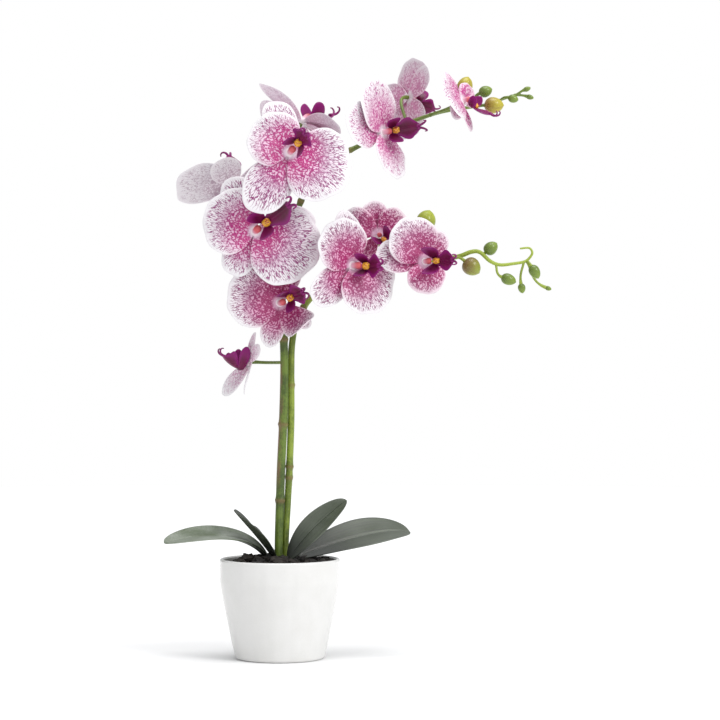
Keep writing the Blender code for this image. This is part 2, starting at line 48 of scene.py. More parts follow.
# The model's own sizes, as its solids have them.
POT_HEIGHT = 91.5
POT_RIM_RADIUS = 55.2
POT_BASE_RADIUS = 41.0
POT_SHOULDER_DROP = 20.0
POT_WALL = 3.6
POT_FLOOR = 5.0
POT_EDGE_ROUND = 3.0
BARK_TOP = POT_HEIGHT - 8.5
SPIKE_RADII = {"a": 3.9, "b": 3.2}
SPIKE_TIP_SHARE = 0.34
SPIKE_FEET = {"a": (-1.0, 0.0, POT_HEIGHT), "b": (5.02, 5.42, POT_HEIGHT)}
SPIKE_DEPTH = 28.0
STALK_RADIUS = 1.6
BUD_STALK_RADIUS = 1.1
LAYER_SHIFT = 1.5
HUB_RADIUS = 3.4
PETAL_LENGTH = 53.0
SEPAL_LENGTH = 48.0
LIP_LENGTH = 30.0
LIP_WING_LENGTH = 21.0
PETAL_ANGLE = 84.0
LATERAL_ANGLE = 134.0
WING_ANGLE = 96.0

# Sizes that only the looks have. A grid is rows and columns of points.
TEPAL_THICKNESS = 1.1
WING_THICKNESS = 1.4
PLACE_REACH = 64.0  # how far from a flower's middle the place of a blade's point counts as 1
POT_SIDES = 160
BARK_SIDES = 72
BARK_RISE = 4.2
BARK_HEAP_RISE = 3.5
BARK_REACH = 52.0
CHIP_COUNT = 150
CHIP_REACH = 44.0
SPIKE_STEPS = 420
SPIKE_SIDES = 28
RING_HALF_WIDTH = 1.8
COLLAR_LENGTH = 7.0
BLADE_GRID = (30, 61)
WING_GRID = (18, 33)
TONGUE_GRID = (34, 27)
LEAF_GRID = (33, 72)
BUD_GRID = (40, 48)
CALLUS_GRID = (18, 24)
FLOOR_RADIUS = 3000.0
FLOOR_DROP = 0.05


class Lobe(NamedTuple):
    """A blade of a flower, as the model has it: direction, outline, and how it leaves the flower's plane."""

    angle: float
    half_span: float
    length: float
    fullness: float
    fold: float
    curl: float
    cup: float


class Flower(NamedTuple):
    """A flower: its station on its spike, its middle, how its face turns, and the changes to its lobes."""

    name: str
    spike: str
    station: float
    centre: tuple
    turn: float
    lift: float
    roll: float
    size: float
    lip_dip: float = 50.0
    lip_turn: float = 0.0
    changes: dict = {}


class Bud(NamedTuple):
    """A bud: its station, its middle, and the angle its tip points at, from the right and seen from the front."""

    name: str
    spike: str
    station: float
    centre: tuple
    direction: float
    length: float
    width: float


class Leaf(NamedTuple):
    """A leaf: three points from the bark up, half its width, its roll, and how deep its channel is."""

    name: str
    base: tuple
    middle: tuple
    tip: tuple
    half_width: float
    roll: float
    channel: float


def wings(**change):
    """The same change for both wings of a lip."""
    return {"lip_left_wing": change, "lip_right_wing": change}


SPIKE_ROUTES = {
    "a": [
        (0, 0, -1.5), (0, 0, 18.5), (1, 0, 53.5), (2, 0, 83.5), (4, 0, 127.5), (5, 0, 170.5),
        (4.5, 1, 198.5), (3, 3, 223.5), (3.5, 5, 250.5), (8, 7, 280.5), (14, 8, 308.5), (21, 8, 331.5),
        (34, 7, 353.5), (51, 6, 368.5), (71, 5, 378.5), (102, 4, 394.5), (126, 3, 403.5),
        (148, 2, 410.5), (171, 2, 414.5), (191, 1, 417.5), (206, 0, 422.5), (222, 0, 428),
    ],
    "b": [
        (0, 0, -1.5), (0, 0, 18.5), (2, 0, 53.5), (3.5, 0, 83.5), (5, 0, 127.5), (5, 0.5, 170.5),
        (6, 1.5, 198.5), (11, 3.5, 220.5), (23, 5.5, 239.5), (43, 6.5, 252.5), (70, 6.5, 260.5),
        (100, 4.5, 266.5), (130, 0.5, 272.5), (158, -2.5, 277.5), (171, -4.5, 282), (179, -5.5, 281.5),
        (188, -6.5, 273.5), (197, -6.5, 270), (209, -6.5, 271), (220, -5.5, 273), (225, -5.5, 277),
        (227, -5.5, 281.5), (224, -5.5, 285.5), (216, -5.5, 285),
    ],
}
RINGS = {"a": (52, 122, 200, 262, 330, 372, 398), "b": (73, 83, 158, 232, 258, 274)}

FLOWERS = [
    Flower("flower_01", "a", 9.2, (-42, 36, 346), -145, 45, 270, 1.0, 30, 0, {
        "left_petal": {"angle": 86, "length": 62, "half_span": 62, "fullness": 0.85},
        "lip_tongue": {"length": 22},
    }),
    Flower("flower_02", "a", 11.8, (12, -60, 368), 8, 8, 232, 1.06, 34, -6, {
        "back_sepal": {"angle": 4, "length": 59, "half_span": 50, "fold": 4},
        "left_petal": {"angle": 103, "length": 54, "half_span": 77, "fullness": 0.40},
        "right_petal": {"angle": -92, "length": 39, "half_span": 82, "fullness": 0.38},
        **wings(length=15),
        "lip_tongue": {"length": 25},
        "left_sepal": {"angle": 126},
        "right_sepal": {"angle": -126},
    }),
    Flower("flower_03", "a", 13.2, (21, 24, 404), 128, 50, 90, 1.05, 50, 0, {
        "back_sepal": {"angle": 4, "half_span": 34, "length": 56},
        "left_petal": {"angle": 106, "length": 44, "half_span": 36},
        "right_petal": {"half_span": 60},
        "left_sepal": {"half_span": 30, "length": 36},
        "lip_tongue": {"length": 26},
    }),
    Flower("flower_04", "a", 9.8, (-20, -34, 299), 4, 4, 238, 1.14, 66, -24, {
        "left_petal": {"angle": 94, "length": 54, "half_span": 78, "fullness": 0.45},
        "right_petal": {"angle": -82, "length": 43, "half_span": 82, "fullness": 0.38},
        "back_sepal": {"length": 40},
        "right_sepal": {"angle": -122},
        "lip_tongue": {"length": 36},
    }),
    Flower("flower_05", "a", 7.0, (1, -14, 235), 14, -6, 250, 1.0, 50, -34, {
        **wings(length=16),
        "back_sepal": {"angle": 8, "length": 42, "half_span": 36},
        "left_petal": {"angle": 60, "fold": 6, "curl": 116, "half_span": 40, "length": 50},
        "right_petal": {"angle": -86, "length": 50, "fullness": 0.45},
        "left_sepal": {"angle": 74, "length": 38, "half_span": 28},
        "right_sepal": {"angle": -176, "length": 42},
        "lip_tongue": {"length": 26},
    }),
    Flower("flower_06", "a", 5.3, (-29, 21, 181), -70, 4, 94, 0.86, -12, 0, {
        "back_sepal": {"length": 32},
        "left_petal": {"angle": 66, "length": 32, "half_span": 32, "fold": 0},
        "right_petal": {"angle": -66, "length": 32, "half_span": 32, "fold": 0},
        "left_sepal": {"fold": 23, "curl": 4, "half_span": 35, "length": 54},
        "right_sepal": {"fold": 19, "curl": 4, "half_span": 35, "length": 54},
        "lip_tongue": {"length": 29, "cup": 3.4},
        "lip_left_wing": {"angle": 76, "half_span": 27, "length": 28},
        "lip_right_wing": {"angle": -76, "half_span": 27, "length": 28},
    }),
    Flower("flower_07", "a", 14.6, (94, -20, 390), 58, 4, 190, 0.95, 50, 0, {
        "back_sepal": {"angle": -20, "length": 52, "half_span": 62, "fullness": 0.7},
        "left_petal": {"fold": 24, "length": 48, "half_span": 66},
        "left_sepal": {"angle": 130},
    }),
    Flower("flower_08", "a", 15.6, (121, 31, 427), 130, -5, 6, 0.78, 50, 30, {
        "left_petal": {"angle": 84, "length": 48, "half_span": 78},
        "right_petal": {"angle": -84, "length": 50, "half_span": 72},
        "lip_tongue": {"length": 24},
    }),
    Flower("flower_09", "a", 16.6, (167, -24, 417.5), 66, 25, 96, 0.90, 70, 0, {
        "back_sepal": {"length": 36, "fold": 8},
        "left_sepal": {"angle": 112, "half_span": 36, "length": 36},
        "right_sepal": {"angle": -176, "half_span": 36, "length": 32},
        "left_petal": {"angle": 84, "half_span": 62, "length": 50},
        "right_petal": {"angle": -68, "fold": 30, "half_span": 64, "length": 27},
        "lip_tongue": {"length": 26},
        **wings(length=15),
    }),
    Flower("flower_10", "b", 9.2, (61, -40, 268), 34, 0, 212, 1.04, 24, -36, {
        **wings(length=17),
        "left_petal": {"angle": 97, "length": 47, "half_span": 80, "fullness": 0.42, "fold": 18},
        "right_petal": {"angle": -90, "length": 43, "half_span": 80, "fullness": 0.45},
        "back_sepal": {"angle": 10},
        "left_sepal": {"angle": 116, "length": 38},
        "right_sepal": {"angle": -118},
        "lip_tongue": {"length": 24},
    }),
    Flower("flower_11", "b", 10.7, (86, 26, 299), 0, 8, 100, 0.72, 66, 30, {
        "left_petal": {"angle": 50, "half_span": 47},
        "right_petal": {"angle": -58, "half_span": 54, "length": 44},
        "left_sepal": {"half_span": 34},
        "right_sepal": {"half_span": 34},
        "lip_tongue": {"length": 36},
    }),
    Flower("flower_12", "b", 11.3, (127, -34, 272), 18, 0, 192, 0.90, 44, -10, {
        "left_petal": {"angle": 83, "half_span": 76, "length": 33, "fullness": 0.38},
        "right_petal": {"angle": -70, "half_span": 70, "length": 48, "fullness": 0.42},
        "back_sepal": {"angle": -22, "length": 50},
        "left_sepal": {"angle": 104, "length": 34},
        "right_sepal": {"angle": -140, "length": 38},
        **wings(length=25),
    }),
]

BUDS = [
    Bud("bud_a1", "a", 17.2, (172, 20, 437), 70, 17, 14.5),
    Bud("bud_a2", "a", 18.2, (190, 0, 429.5), 20, 12.5, 10.5),
    Bud("bud_a3", "a", 18.4, (197, -12, 415.5), 0, 17.5, 15),
    Bud("bud_a4", "a", 19.8, (215, -7, 422), -15, 9.5, 7.5),
    Bud("bud_a5", "a", 20.8, (228, -2, 431.5), 20, 7, 4.6),
    Bud("bud_a6", "a", 20.6, (231, 2, 424.5), -15, 7, 4.6),
    Bud("bud_b1", "b", 11.6, (130, 12.5, 312.5), 70, 18, 18),
    Bud("bud_b2", "b", 12.4, (171, -11.5, 268), -40, 17.5, 16.5),
    Bud("bud_b3", "b", 14.8, (189, -3.5, 285.5), 40, 14, 12),
    Bud("bud_b4", "b", 16.6, (205, -8.5, 256.5), -20, 14, 10.5),
    Bud("bud_b5", "b", 18.9, (217.5, -3.5, 248.5), -80, 9, 7),
    Bud("bud_b6", "b", 19.3, (229, -9.5, 263.5), -60, 13.5, 10),
    Bud("bud_b7", "b", 19.2, (242, -1.5, 248.5), -20, 6, 4.2),
]

LEAVES = [
    Leaf("leaf_left", (-12, 6, 0.5), (-34, -6, 32), (-104, -28, 16.5), 20, -16, 0.20),
    Leaf("leaf_edge", (-3, -14, 1), (-16, -16, 20), (-41, -18, 45.5), 13, 2, 0.22),
    Leaf("leaf_young", (-7, 20, 1), (-14, 22, 14), (-26, 22, 28), 10, 4, 0.22),
    Leaf("leaf_right_upright", (9, -12, 0.5), (28, -16, 30), (61, -12, 54), 12.5, 56, 0.28),
    Leaf("leaf_right", (17, 12, 0.5), (88, 36, 27), (120, 44, 21), 26, 22, 0.16),
]
LOBES = {
    "back_sepal": Lobe(0, 48, SEPAL_LENGTH, 0.75, 2, -14, 0.25),
    "left_sepal": Lobe(LATERAL_ANGLE, 45, SEPAL_LENGTH, 0.8, 2, -12, 0.2),
    "right_sepal": Lobe(-LATERAL_ANGLE, 45, SEPAL_LENGTH, 0.8, 2, -12, 0.2),
    "left_petal": Lobe(PETAL_ANGLE, 80, PETAL_LENGTH, 0.52, 7, -12, 0.12),
    "right_petal": Lobe(-PETAL_ANGLE, 80, PETAL_LENGTH, 0.52, 7, -12, 0.12),
    "lip_tongue": Lobe(0, 44, LIP_LENGTH, 1.3, 0, 40, 0.6),
    "lip_left_wing": Lobe(WING_ANGLE, 44, LIP_WING_LENGTH, 0.8, 46, 40, 0.0),
    "lip_right_wing": Lobe(-WING_ANGLE, 44, LIP_WING_LENGTH, 0.8, 46, 40, 0.0),
}

# Finishes that differ from rose flowers, green buds and open leaves.
TONES = {
    # flower_01's finish is painted shade: its pinks are dulled, for a flower in shadow at the back.
    "flower_01": "shadowed", "flower_05": "deep", "flower_06": "faint", "flower_07": "pale", "flower_08": "pale",
    # flower_05's deep finish is painted shade, under flower_04; flowers 10 to 12 are deep in their own colour.
    "flower_09": "pale", "flower_10": "deep", "flower_11": "deep", "flower_12": "deep",
    "bud_a1": "olive", "bud_a3": "olive", "bud_b1": "lime", "bud_b2": "brown",
    # leaf_left's finish is painted light: its lit top, with more painted sheen.
    "leaf_edge": "shaded", "leaf_young": "shaded", "leaf_left": "bright",
}


# ---- meshes


class Shape(NamedTuple):
    """A mesh in mm: points, faces by point number, and for each point a UV place and named marks."""

    points: np.ndarray
    quads: np.ndarray
    tris: np.ndarray
    place: np.ndarray
    marks: dict


def unit(vectors):
    return vectors / np.maximum(np.linalg.norm(vectors, axis=-1, keepdims=True), 1e-12)


def circle(sides):
    return np.arange(sides) / sides * 2 * math.pi


def put_object(name, data):
    made = bpy.data.objects.new(name, data)
    bpy.context.scene.collection.objects.link(made)
    return made


def put_piece(name, shape, finish, slot, *nodes):
    """One smooth mesh from a shape. It rides on the one body and stands for the CAD nodes, hiding them.
    The slot it is given is not used.
    """
    corners = np.concatenate([shape.quads.reshape(-1), shape.tris.reshape(-1)]).astype(np.int32)
    counts = np.repeat([4, 3], [len(shape.quads), len(shape.tris)]).astype(np.int32)
    starts = np.concatenate([[0], np.cumsum(counts)[:-1]]).astype(np.int32)
    mesh = bpy.data.meshes.new(name)
    mesh.vertices.add(len(shape.points))
    mesh.vertices.foreach_set("co", (shape.points * MM).astype(np.float32).ravel())
    mesh.loops.add(len(corners))
    mesh.loops.foreach_set("vertex_index", corners)
    mesh.polygons.add(len(counts))
    mesh.polygons.foreach_set("loop_start", starts)
    mesh.polygons.foreach_set("use_smooth", np.ones(len(counts), bool))
    if shape.place is not None:
        layer = mesh.uv_layers.new(name="place")
        layer.data.foreach_set("uv", shape.place[corners].astype(np.float32).ravel())
    for key, values in shape.marks.items():
        mark = mesh.attributes.new(key, "FLOAT", "POINT")
        mark.data.foreach_set("value", values.astype(np.float32).ravel())
    mesh.update(calc_edges=True)
    mesh.materials.append(finish)
    piece = put_object(name, mesh)
    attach(piece, "root")
    if nodes:
        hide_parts(*nodes)
    return piece


def cells(rows, cols, wrapped):
    """Corner numbers of the cells of a grid; a wrapped grid also joins its last column to its first."""
    row, col = np.meshgrid(np.arange(rows - 1), np.arange(cols if wrapped else cols - 1), indexing="ij")
    beyond = (col + 1) % cols
    near, far = row * cols, (row + 1) * cols
    return np.stack([near + col, near + beyond, far + beyond, far + col], -1).reshape(-1, 4)


def skin(grid):
    """A closed skin of rings: rows of the grid are rings, and its first and last rows shrink to a point
    each. A point's place is how far round it is, and how far from the first pole to the last."""
    rows, cols = grid.shape[:2]
    points = np.concatenate([grid[1:-1].reshape(-1, 3), grid[:1, 0], grid[-1:, 0]])
    col = np.arange(cols)
    beyond = (col + 1) % cols
    last = (rows - 3) * cols
    tris = np.concatenate([
        np.stack([np.full(cols, len(points) - 2), beyond, col], -1),
        np.stack([np.full(cols, len(points) - 1), last + col, last + beyond], -1),
    ])
    along, around = np.meshgrid(np.linspace(0, 1, rows)[1:-1], col / cols, indexing="ij")
    place = np.concatenate([np.stack([around, along], -1).reshape(-1, 2), [[0.5, 0.0], [0.5, 1.0]]])
    return Shape(points, cells(rows - 2, cols, True), tris, place, {})


def sheet(surface, thickness, place, marks):
    """A closed sheet about a grid of points. Each point moves half the thickness to both sides along the
    grid's normal, rows crossed with columns being the face, and a rounded strip closes the rim."""
    rows, cols = surface.shape[:2]
    normal = unit(np.cross(np.gradient(surface, axis=0), np.gradient(surface, axis=1)))
    half = (thickness / 2)[..., None]
    front = (surface + normal * half).reshape(-1, 3)
    back = (surface - normal * half).reshape(-1, 3)
    number = np.arange(rows * cols).reshape(rows, cols)
    loop = np.concatenate([number[:-1, 0], number[-1, :-1], number[:0:-1, -1], number[0, :0:-1]])
    ring = surface.reshape(-1, 3)[loop]
    outward = np.cross(np.roll(ring, -1, 0) - np.roll(ring, 1, 0), normal.reshape(-1, 3)[loop])
    edge = ring + unit(outward) * half.reshape(-1, 1)[loop]
    total = rows * cols
    middle = 2 * total + np.arange(len(loop))
    following = np.roll(loop, -1)
    middle_next = np.roll(middle, -1)
    flat = cells(rows, cols, False)
    quads = np.concatenate([
        flat[:, ::-1],
        flat + total,
        np.stack([loop, middle, middle_next, following], -1),
        np.stack([middle, loop + total, following + total, middle_next], -1),
    ])
    place = place.reshape(-1, 2)
    spread = {key: np.concatenate([v.ravel(), v.ravel(), v.ravel()[loop]]) for key, v in marks.items()}
    spread["face"] = np.concatenate([np.ones(total), np.zeros(total), np.full(len(loop), 0.5)])
    points = np.concatenate([front, back, edge])
    return Shape(points, quads, np.zeros((0, 3), int), np.concatenate([place, place, place[loop]]), spread)


def joined(shapes):
    """Several shapes as one, without their marks."""
    starts = np.cumsum([0] + [len(shape.points) for shape in shapes[:-1]])
    return Shape(
        np.concatenate([shape.points for shape in shapes]),
        np.concatenate([shape.quads + start for shape, start in zip(shapes, starts)]),
        np.concatenate([shape.tris + start for shape, start in zip(shapes, starts)]),
        np.concatenate([shape.place for shape in shapes]),
        {},
    )


def frames_along(path):
    """Two directions square to a path at each of its points, turning as little as its best plane allows."""
    heading = unit(np.gradient(path, axis=0))
    flat = np.linalg.svd(path - path.mean(axis=0))[2][-1]
    first = unit(flat - heading * (heading @ flat)[:, None])
    return first, np.cross(heading, first)


def pipe(path, radii, sides):
    """A round pipe along a path, its ends drawn in to points over a small dome."""
    heading = unit(np.gradient(path, axis=0))
    start, end = heading[:1] * radii[0], heading[-1:] * radii[-1]
    path = np.concatenate([
        path[:1] - start * 0.5, path[:1] - start * 0.3, path, path[-1:] + end * 0.3, path[-1:] + end * 0.5,
    ])
    radii = np.concatenate([[0.0, radii[0] * 0.7], radii, [radii[-1] * 0.7, 0.0]])
    first, second = frames_along(path)
    angle = circle(sides)[None, :, None]
    ring = np.cos(angle) * first[:, None] + np.sin(angle) * second[:, None]
    return skin(path[:, None] + ring * radii[:, None, None])


def pipe_mark(values, first, last, sides):
    """A mark for each point of a pipe from values along its path; its drawn-in ends take first and last."""
    return np.concatenate([np.repeat(np.concatenate([[first], values, [last]]), sides), [first, last]])


def turned(profile, sides):
    """A profile of (radius, height), from the axis round the outside and back to the axis, turned about Z."""
    radius, height = profile[:, :1], profile[:, 1:]
    angle = circle(sides)
    return skin(np.stack([radius * np.cos(angle), radius * np.sin(angle), height + 0 * angle], -1))


def on_line(corners, at):
    """Points of a curve through corners, at counting corners along it. Each span is a cubic that leaves and
    meets its corners along the line between their neighbours."""
    last = len(corners) - 1
    at = np.clip(at, 0, last)
    first = np.minimum(at.astype(int), last - 1)
    share = (at - first)[..., None]
    before, start, end, after = (corners[np.clip(first + step, 0, last)] for step in (-1, 0, 1, 2))
    return 0.5 * (
        2 * start
        + (end - before) * share
        + (2 * before - 5 * start + 4 * end - after) * share ** 2
        + (3 * start - before - 3 * end + after) * share ** 3
    )


def smooth_line(corners, steps):
    return on_line(corners, np.linspace(0, len(corners) - 1, steps))


# ---- finishes


class Value:
    """What a node puts out. Arithmetic with it makes Math nodes in the same tree."""

    def __init__(self, shade, socket):
        self.shade = shade
        self.socket = socket

    def __add__(self, other):
        return self.shade.calc("ADD", self, other)

    def __sub__(self, other):
        return self.shade.calc("SUBTRACT", self, other)

    def __rsub__(self, other):
        return self.shade.calc("SUBTRACT", other, self)

    def __mul__(self, other):
        return self.shade.calc("MULTIPLY", self, other)

    def __truediv__(self, other):
        return self.shade.calc("DIVIDE", self, other)


class Shade:
    """Makes and joins the nodes of one material or node group."""

    def __init__(self, tree):
        self.tree = tree

    def feed(self, socket, value):
        if isinstance(value, Value):
            self.tree.links.new(value.socket, socket)
        else:
            socket.default_value = value

    def node(self, kind, feeds=(), **settings):
        """A new node with its settings; feeds pairs its inputs' numbers or names with what they take."""
        made = self.tree.nodes.new(kind)
        for key, value in settings.items():
            setattr(made, key, value)
        for key, value in dict(feeds).items():
            self.feed(made.inputs[key], value)
        return made

    def results(self, kind, feeds=(), **settings):
        return [Value(self, socket) for socket in self.node(kind, feeds, **settings).outputs]

    def result(self, kind, feeds=(), output=0, **settings):
        return Value(self, self.node(kind, feeds, **settings).outputs[output])

    def calc(self, operation, *values):
        return self.result("ShaderNodeMath", enumerate(values), operation=operation)

    def spread(self, value, low, high, low_to=0.0, high_to=1.0):
        """Eases from low_to to high_to while value goes from low to high."""
        limits = enumerate((value, low, high, low_to, high_to))
        return self.result("ShaderNodeMapRange", limits, interpolation_type="SMOOTHSTEP")

    def mix(self, share, first, second):
        first, second = ((*end, 1.0) if isinstance(end, tuple) else end for end in (first, second))
        return self.result("ShaderNodeMix", {0: share, 6: first, 7: second}, 2, data_type="RGBA")

    def noise(self, place, scale, detail=3.0):
        return self.result("ShaderNodeTexNoise", {"Vector": place, "Scale": scale, "Detail": detail})

    def stretched(self, place, *scale):
        return self.result("ShaderNodeMapping", {"Vector": place, "Scale": scale})

    def spot(self, first, second):
        return self.result("ShaderNodeCombineXYZ", {0: first, 1: second})

    def parts(self, vector):
        return self.results("ShaderNodeSeparateXYZ", {0: vector})

    def place(self):
        return self.result("ShaderNodeUVMap", uv_map="place")

    def solid(self):
        return self.result("ShaderNodeTexCoord", output="Object")

    def mark(self, name):
        return self.result("ShaderNodeAttribute", output="Fac", attribute_name=name)

    def grouped(self, tree, **feeds):
        return self.results("ShaderNodeGroup", feeds, node_tree=tree)

    def mottle(self, low=0.0, high=1.0):
        """The slow variation between two values, and the fine grain, of the whole piece."""
        return self.grouped(MOTTLE, Place=self.solid(), Low=low, High=high)


class Finish(Shade):
    """A new material, its Principled shader's constant values set."""

    def __init__(self, name, **constants):
        self.material = bpy.data.materials.new(name)
        self.material.use_nodes = True
        super().__init__(self.material.node_tree)
        self.surface = self.tree.nodes["Principled BSDF"].inputs
        for key, value in constants.items():
            self.surface[key.replace("_", " ")].default_value = value

    def done(self, colour, roughness, height, strength, distance):
        """Feeds the shader; the height becomes a bump of a given strength and distance."""
        normal = self.result("ShaderNodeBump", {"Height": height, "Strength": strength, "Distance": distance})
        for key, value in (("Base Color", colour), ("Roughness", roughness), ("Normal", normal)):
            self.feed(self.surface[key], value)
        return self.material


def scaled(colour, share):
    return tuple(share * channel for channel in colour)


def group_named(name, inputs, outputs):
    """A new node group: its tree, its node maker, what it is given and its outputs. An input of None is a
    vector, and other inputs have their default value."""
    tree = bpy.data.node_groups.new(name, "ShaderNodeTree")
    for label, number in inputs.items():
        kind = "NodeSocketVector" if number is None else "NodeSocketFloat"
        socket = tree.interface.new_socket(name=label, in_out="INPUT", socket_type=kind)
        if number is not None:
            socket.default_value = number
    for label in outputs:
        tree.interface.new_socket(name=label, in_out="OUTPUT", socket_type="NodeSocketFloat")
    shade = Shade(tree)
    given = {socket.name: Value(shade, socket) for socket in shade.node("NodeGroupInput").outputs}
    return tree, shade, given, shade.node("NodeGroupOutput").inputs


def blossom_net_group():
    """The net of veins on a petal. Surface is the angle and the distance from the flower's middle. A line
    is drawn where a smooth noise crosses its mean. Near the middle the noise lies on the petal's own plane,
    so its lines wander evenly; further out it lies on the angle and the logarithm of the distance and is
    stretched along the latter, with a wave round the angle added, so they run out as veins. Lines thin
    towards the rim, and a clean margin is left there."""
    tree, shade, given, out = group_named(
        "blossom_net", {"Surface": None, "Rim": 0.5, "Line": 1.0, "Phase": 0.0}, ("Net", "Middle", "Ridge")
    )
    rim = given["Rim"]
    across, along, _ = shade.parts(given["Surface"])
    angle = (across - 0.5) * math.pi
    distance = shade.calc("MAXIMUM", along * PLACE_REACH, 1.0)
    width = shade.spread(rim, 0.15, 0.95, 0.095, 0.045) * given["Line"]

    def lines(first, second, wave=0.0):
        level = shade.noise(shade.spot(first + given["Phase"], second), 1.0, 1.0) + wave
        return shade.spread(shade.calc("ABSOLUTE", level - 0.5) / width, 0.55, 1.25, 1.0, 0.0)

    east = distance * shade.calc("SINE", angle)
    north = distance * shade.calc("COSINE", angle)
    plain = lines(east * 0.37, north * 0.29)
    depth = shade.calc("LOGARITHM", distance, math.e)
    veins = lines(angle * 32.0, depth * 9.0, shade.calc("SINE", angle * 70.0) * 0.11)
    outer = shade.spread(distance + rim * 14.0, 32.0, 46.0)
    net = plain * (1.0 - outer) + veins * outer
    breaks = shade.spread(shade.noise(shade.spot(east, north), 0.8, 1.0), 0.33, 0.46, 0.6, 1.0)
    margin = shade.spread(rim, 0.88, 0.985, 1.0, 0.0)
    throat = shade.spread(distance, 4.5, 9.0)
    shade.feed(out["Net"], net * (breaks * (margin * throat)))
    shade.feed(out["Middle"], shade.spread(distance, 12.0, 40.0, 1.0, 0.0) * throat)
    rays = shade.noise(shade.spot(angle * 13.0, depth * 1.5), 1.0, 2.0)
    shade.feed(out["Ridge"], rays * shade.spread(distance, 8.0, 20.0))
    return tree


def mottle_group():
    """Slow and fine variation over a surface, between two values, for roughness and for shades of a
    colour."""
    given_names = {"Place": None, "Low": 0.0, "High": 1.0}
    tree, shade, given, out = group_named("mottle", given_names, ("Value", "Grain"))
    slow = shade.noise(given["Place"], 45.0, 2.0)
    fine = shade.noise(given["Place"], 600.0, 4.0)
    shade.feed(out["Value"], shade.spread(slow * 0.7 + fine * 0.3, 0.3, 0.7, given["Low"], given["High"]))
    shade.feed(out["Grain"], fine)
    return tree


NET = blossom_net_group()
MOTTLE = mottle_group()


def tepal_finish(name, ground, blush, deep, outer, line, back_strength):
    """White petal tissue with the net: deep colour near the middle, a lighter one further out, and a pale
    back through which the net only shows."""
    shade = Finish(name, Sheen_Weight=0.05, Sheen_Roughness=0.4)
    rim = shade.mark("rim")
    phase = shade.mark("phase")
    net, middle, ridge = shade.grouped(NET, Surface=shade.place(), Rim=rim, Line=line, Phase=phase)
    value, grain = shade.mottle(0.9, 1.0)
    pale = shade.mix(shade.spread(rim, 0.5, 0.97), ground, (0.86, 0.84, 0.86))
    base = shade.mix(middle * 0.8, pale, blush)
    front = shade.mix(net, base, shade.mix(middle, outer, deep))
    back = shade.mix(back_strength, scaled(ground, 0.96), front)
    colour = shade.mix(shade.mark("face"), back, front)
    shaded = shade.mix(value, scaled(ground, 0.86), colour)
    return shade.done(shaded, 1.42 - value, net * -0.12 + ridge + grain * 0.08, 0.55, 0.0014)


def lip_finish():
    """Wine purple, waxy, darker in patches and more violet towards its rim."""
    shade = Finish("lip_wine", Sheen_Weight=0.06, Coat_Weight=0.06, Specular_IOR_Level=0.3,
                   Sheen_Tint=(0.8, 0.25, 0.7, 1.0))
    value, grain = shade.mottle()
    body = shade.mix(value, (0.075, 0.000, 0.022), (0.19, 0.001, 0.075))
    violet = shade.mix(shade.spread(shade.mark("rim"), 0.45, 1.0), body, (0.24, 0.006, 0.15))
    return shade.done(violet, shade.spread(value, 0.0, 1.0, 0.30, 0.46), grain, 0.2, 0.0002)


def callus_finish():
    """The warty yellow cushion in the throat, freckled with red."""
    shade = Finish("callus_yellow", Coat_Weight=0.2)
    spots = shade.spread(shade.noise(shade.solid(), 700.0, 1.0), 0.52, 0.6)
    colour = shade.mix(spots, (0.86, 0.43, 0.03), (0.42, 0.05, 0.03))
    return shade.done(colour, 0.4, shade.noise(shade.solid(), 900.0), 0.4, 0.0004)


def column_finish():
    """White tissue at the root, flushing to coral red at the tip."""
    shade = Finish("column_coral")
    along = shade.parts(shade.place())[1]
    value, grain = shade.mottle(-0.06, 0.06)
    flush = shade.spread(along + value, 0.45, 0.8)
    pale = shade.mix(shade.spread(along, 0.05, 0.5), (0.80, 0.74, 0.76), (0.76, 0.38, 0.48))
    colour = shade.mix(flush, pale, (0.66, 0.11, 0.13))
    return shade.done(colour, shade.spread(grain, 0.0, 1.0, 0.5, 0.65), grain, 0.2, 0.0002)


def throat_finish():
    """White, with a breath of pink in patches."""
    shade = Finish("throat_white")
    value, grain = shade.mottle()
    colour = shade.mix(value, (0.84, 0.78, 0.80), (0.82, 0.66, 0.72))
    return shade.done(colour, shade.spread(grain, 0.2, 0.8, 0.42, 0.6), grain, 0.15, 0.0002)


def stem_finish(name, dark_streak, light_streak, young, brown_band):
    """Green stem skin with fine length-wise ribs, darker and lighter streaks, and a brown band up its left
    side over part of its height."""
    shade = Finish(name, Coat_Weight=0.08)
    ribs = shade.noise(shade.stretched(shade.solid(), 1.0, 1.0, 0.05), 900.0, 2.0)
    value, grain = shade.mottle()
    body = shade.mix(shade.spread((ribs + value) * 0.5, 0.3, 0.7), dark_streak, light_streak)
    body = shade.mix(shade.mark("collar") * 0.75, body, (0.20, 0.12, 0.045))
    # A brown band in patches up the left side, between 150 and 292 mm high.
    if brown_band:
        height = shade.parts(shade.solid())[2]
        band = shade.spread(height, 0.150, 0.176) * shade.spread(height, 0.262, 0.292, 1.0, 0.0)
        side = shade.spread(shade.mark("left"), 0.35, 0.8)
        patch = shade.spread(shade.noise(shade.stretched(shade.solid(), 1.0, 1.0, 0.25), 160.0), 0.34, 0.6)
        body = shade.mix(band * (side * patch) * 0.9, body, (0.20, 0.085, 0.06))
    body = shade.mix(shade.mark("young") * 0.8, body, young)
    return shade.done(body, shade.spread(grain, 0.2, 0.8, 0.36, 0.52), ribs, 0.35, 0.0004)


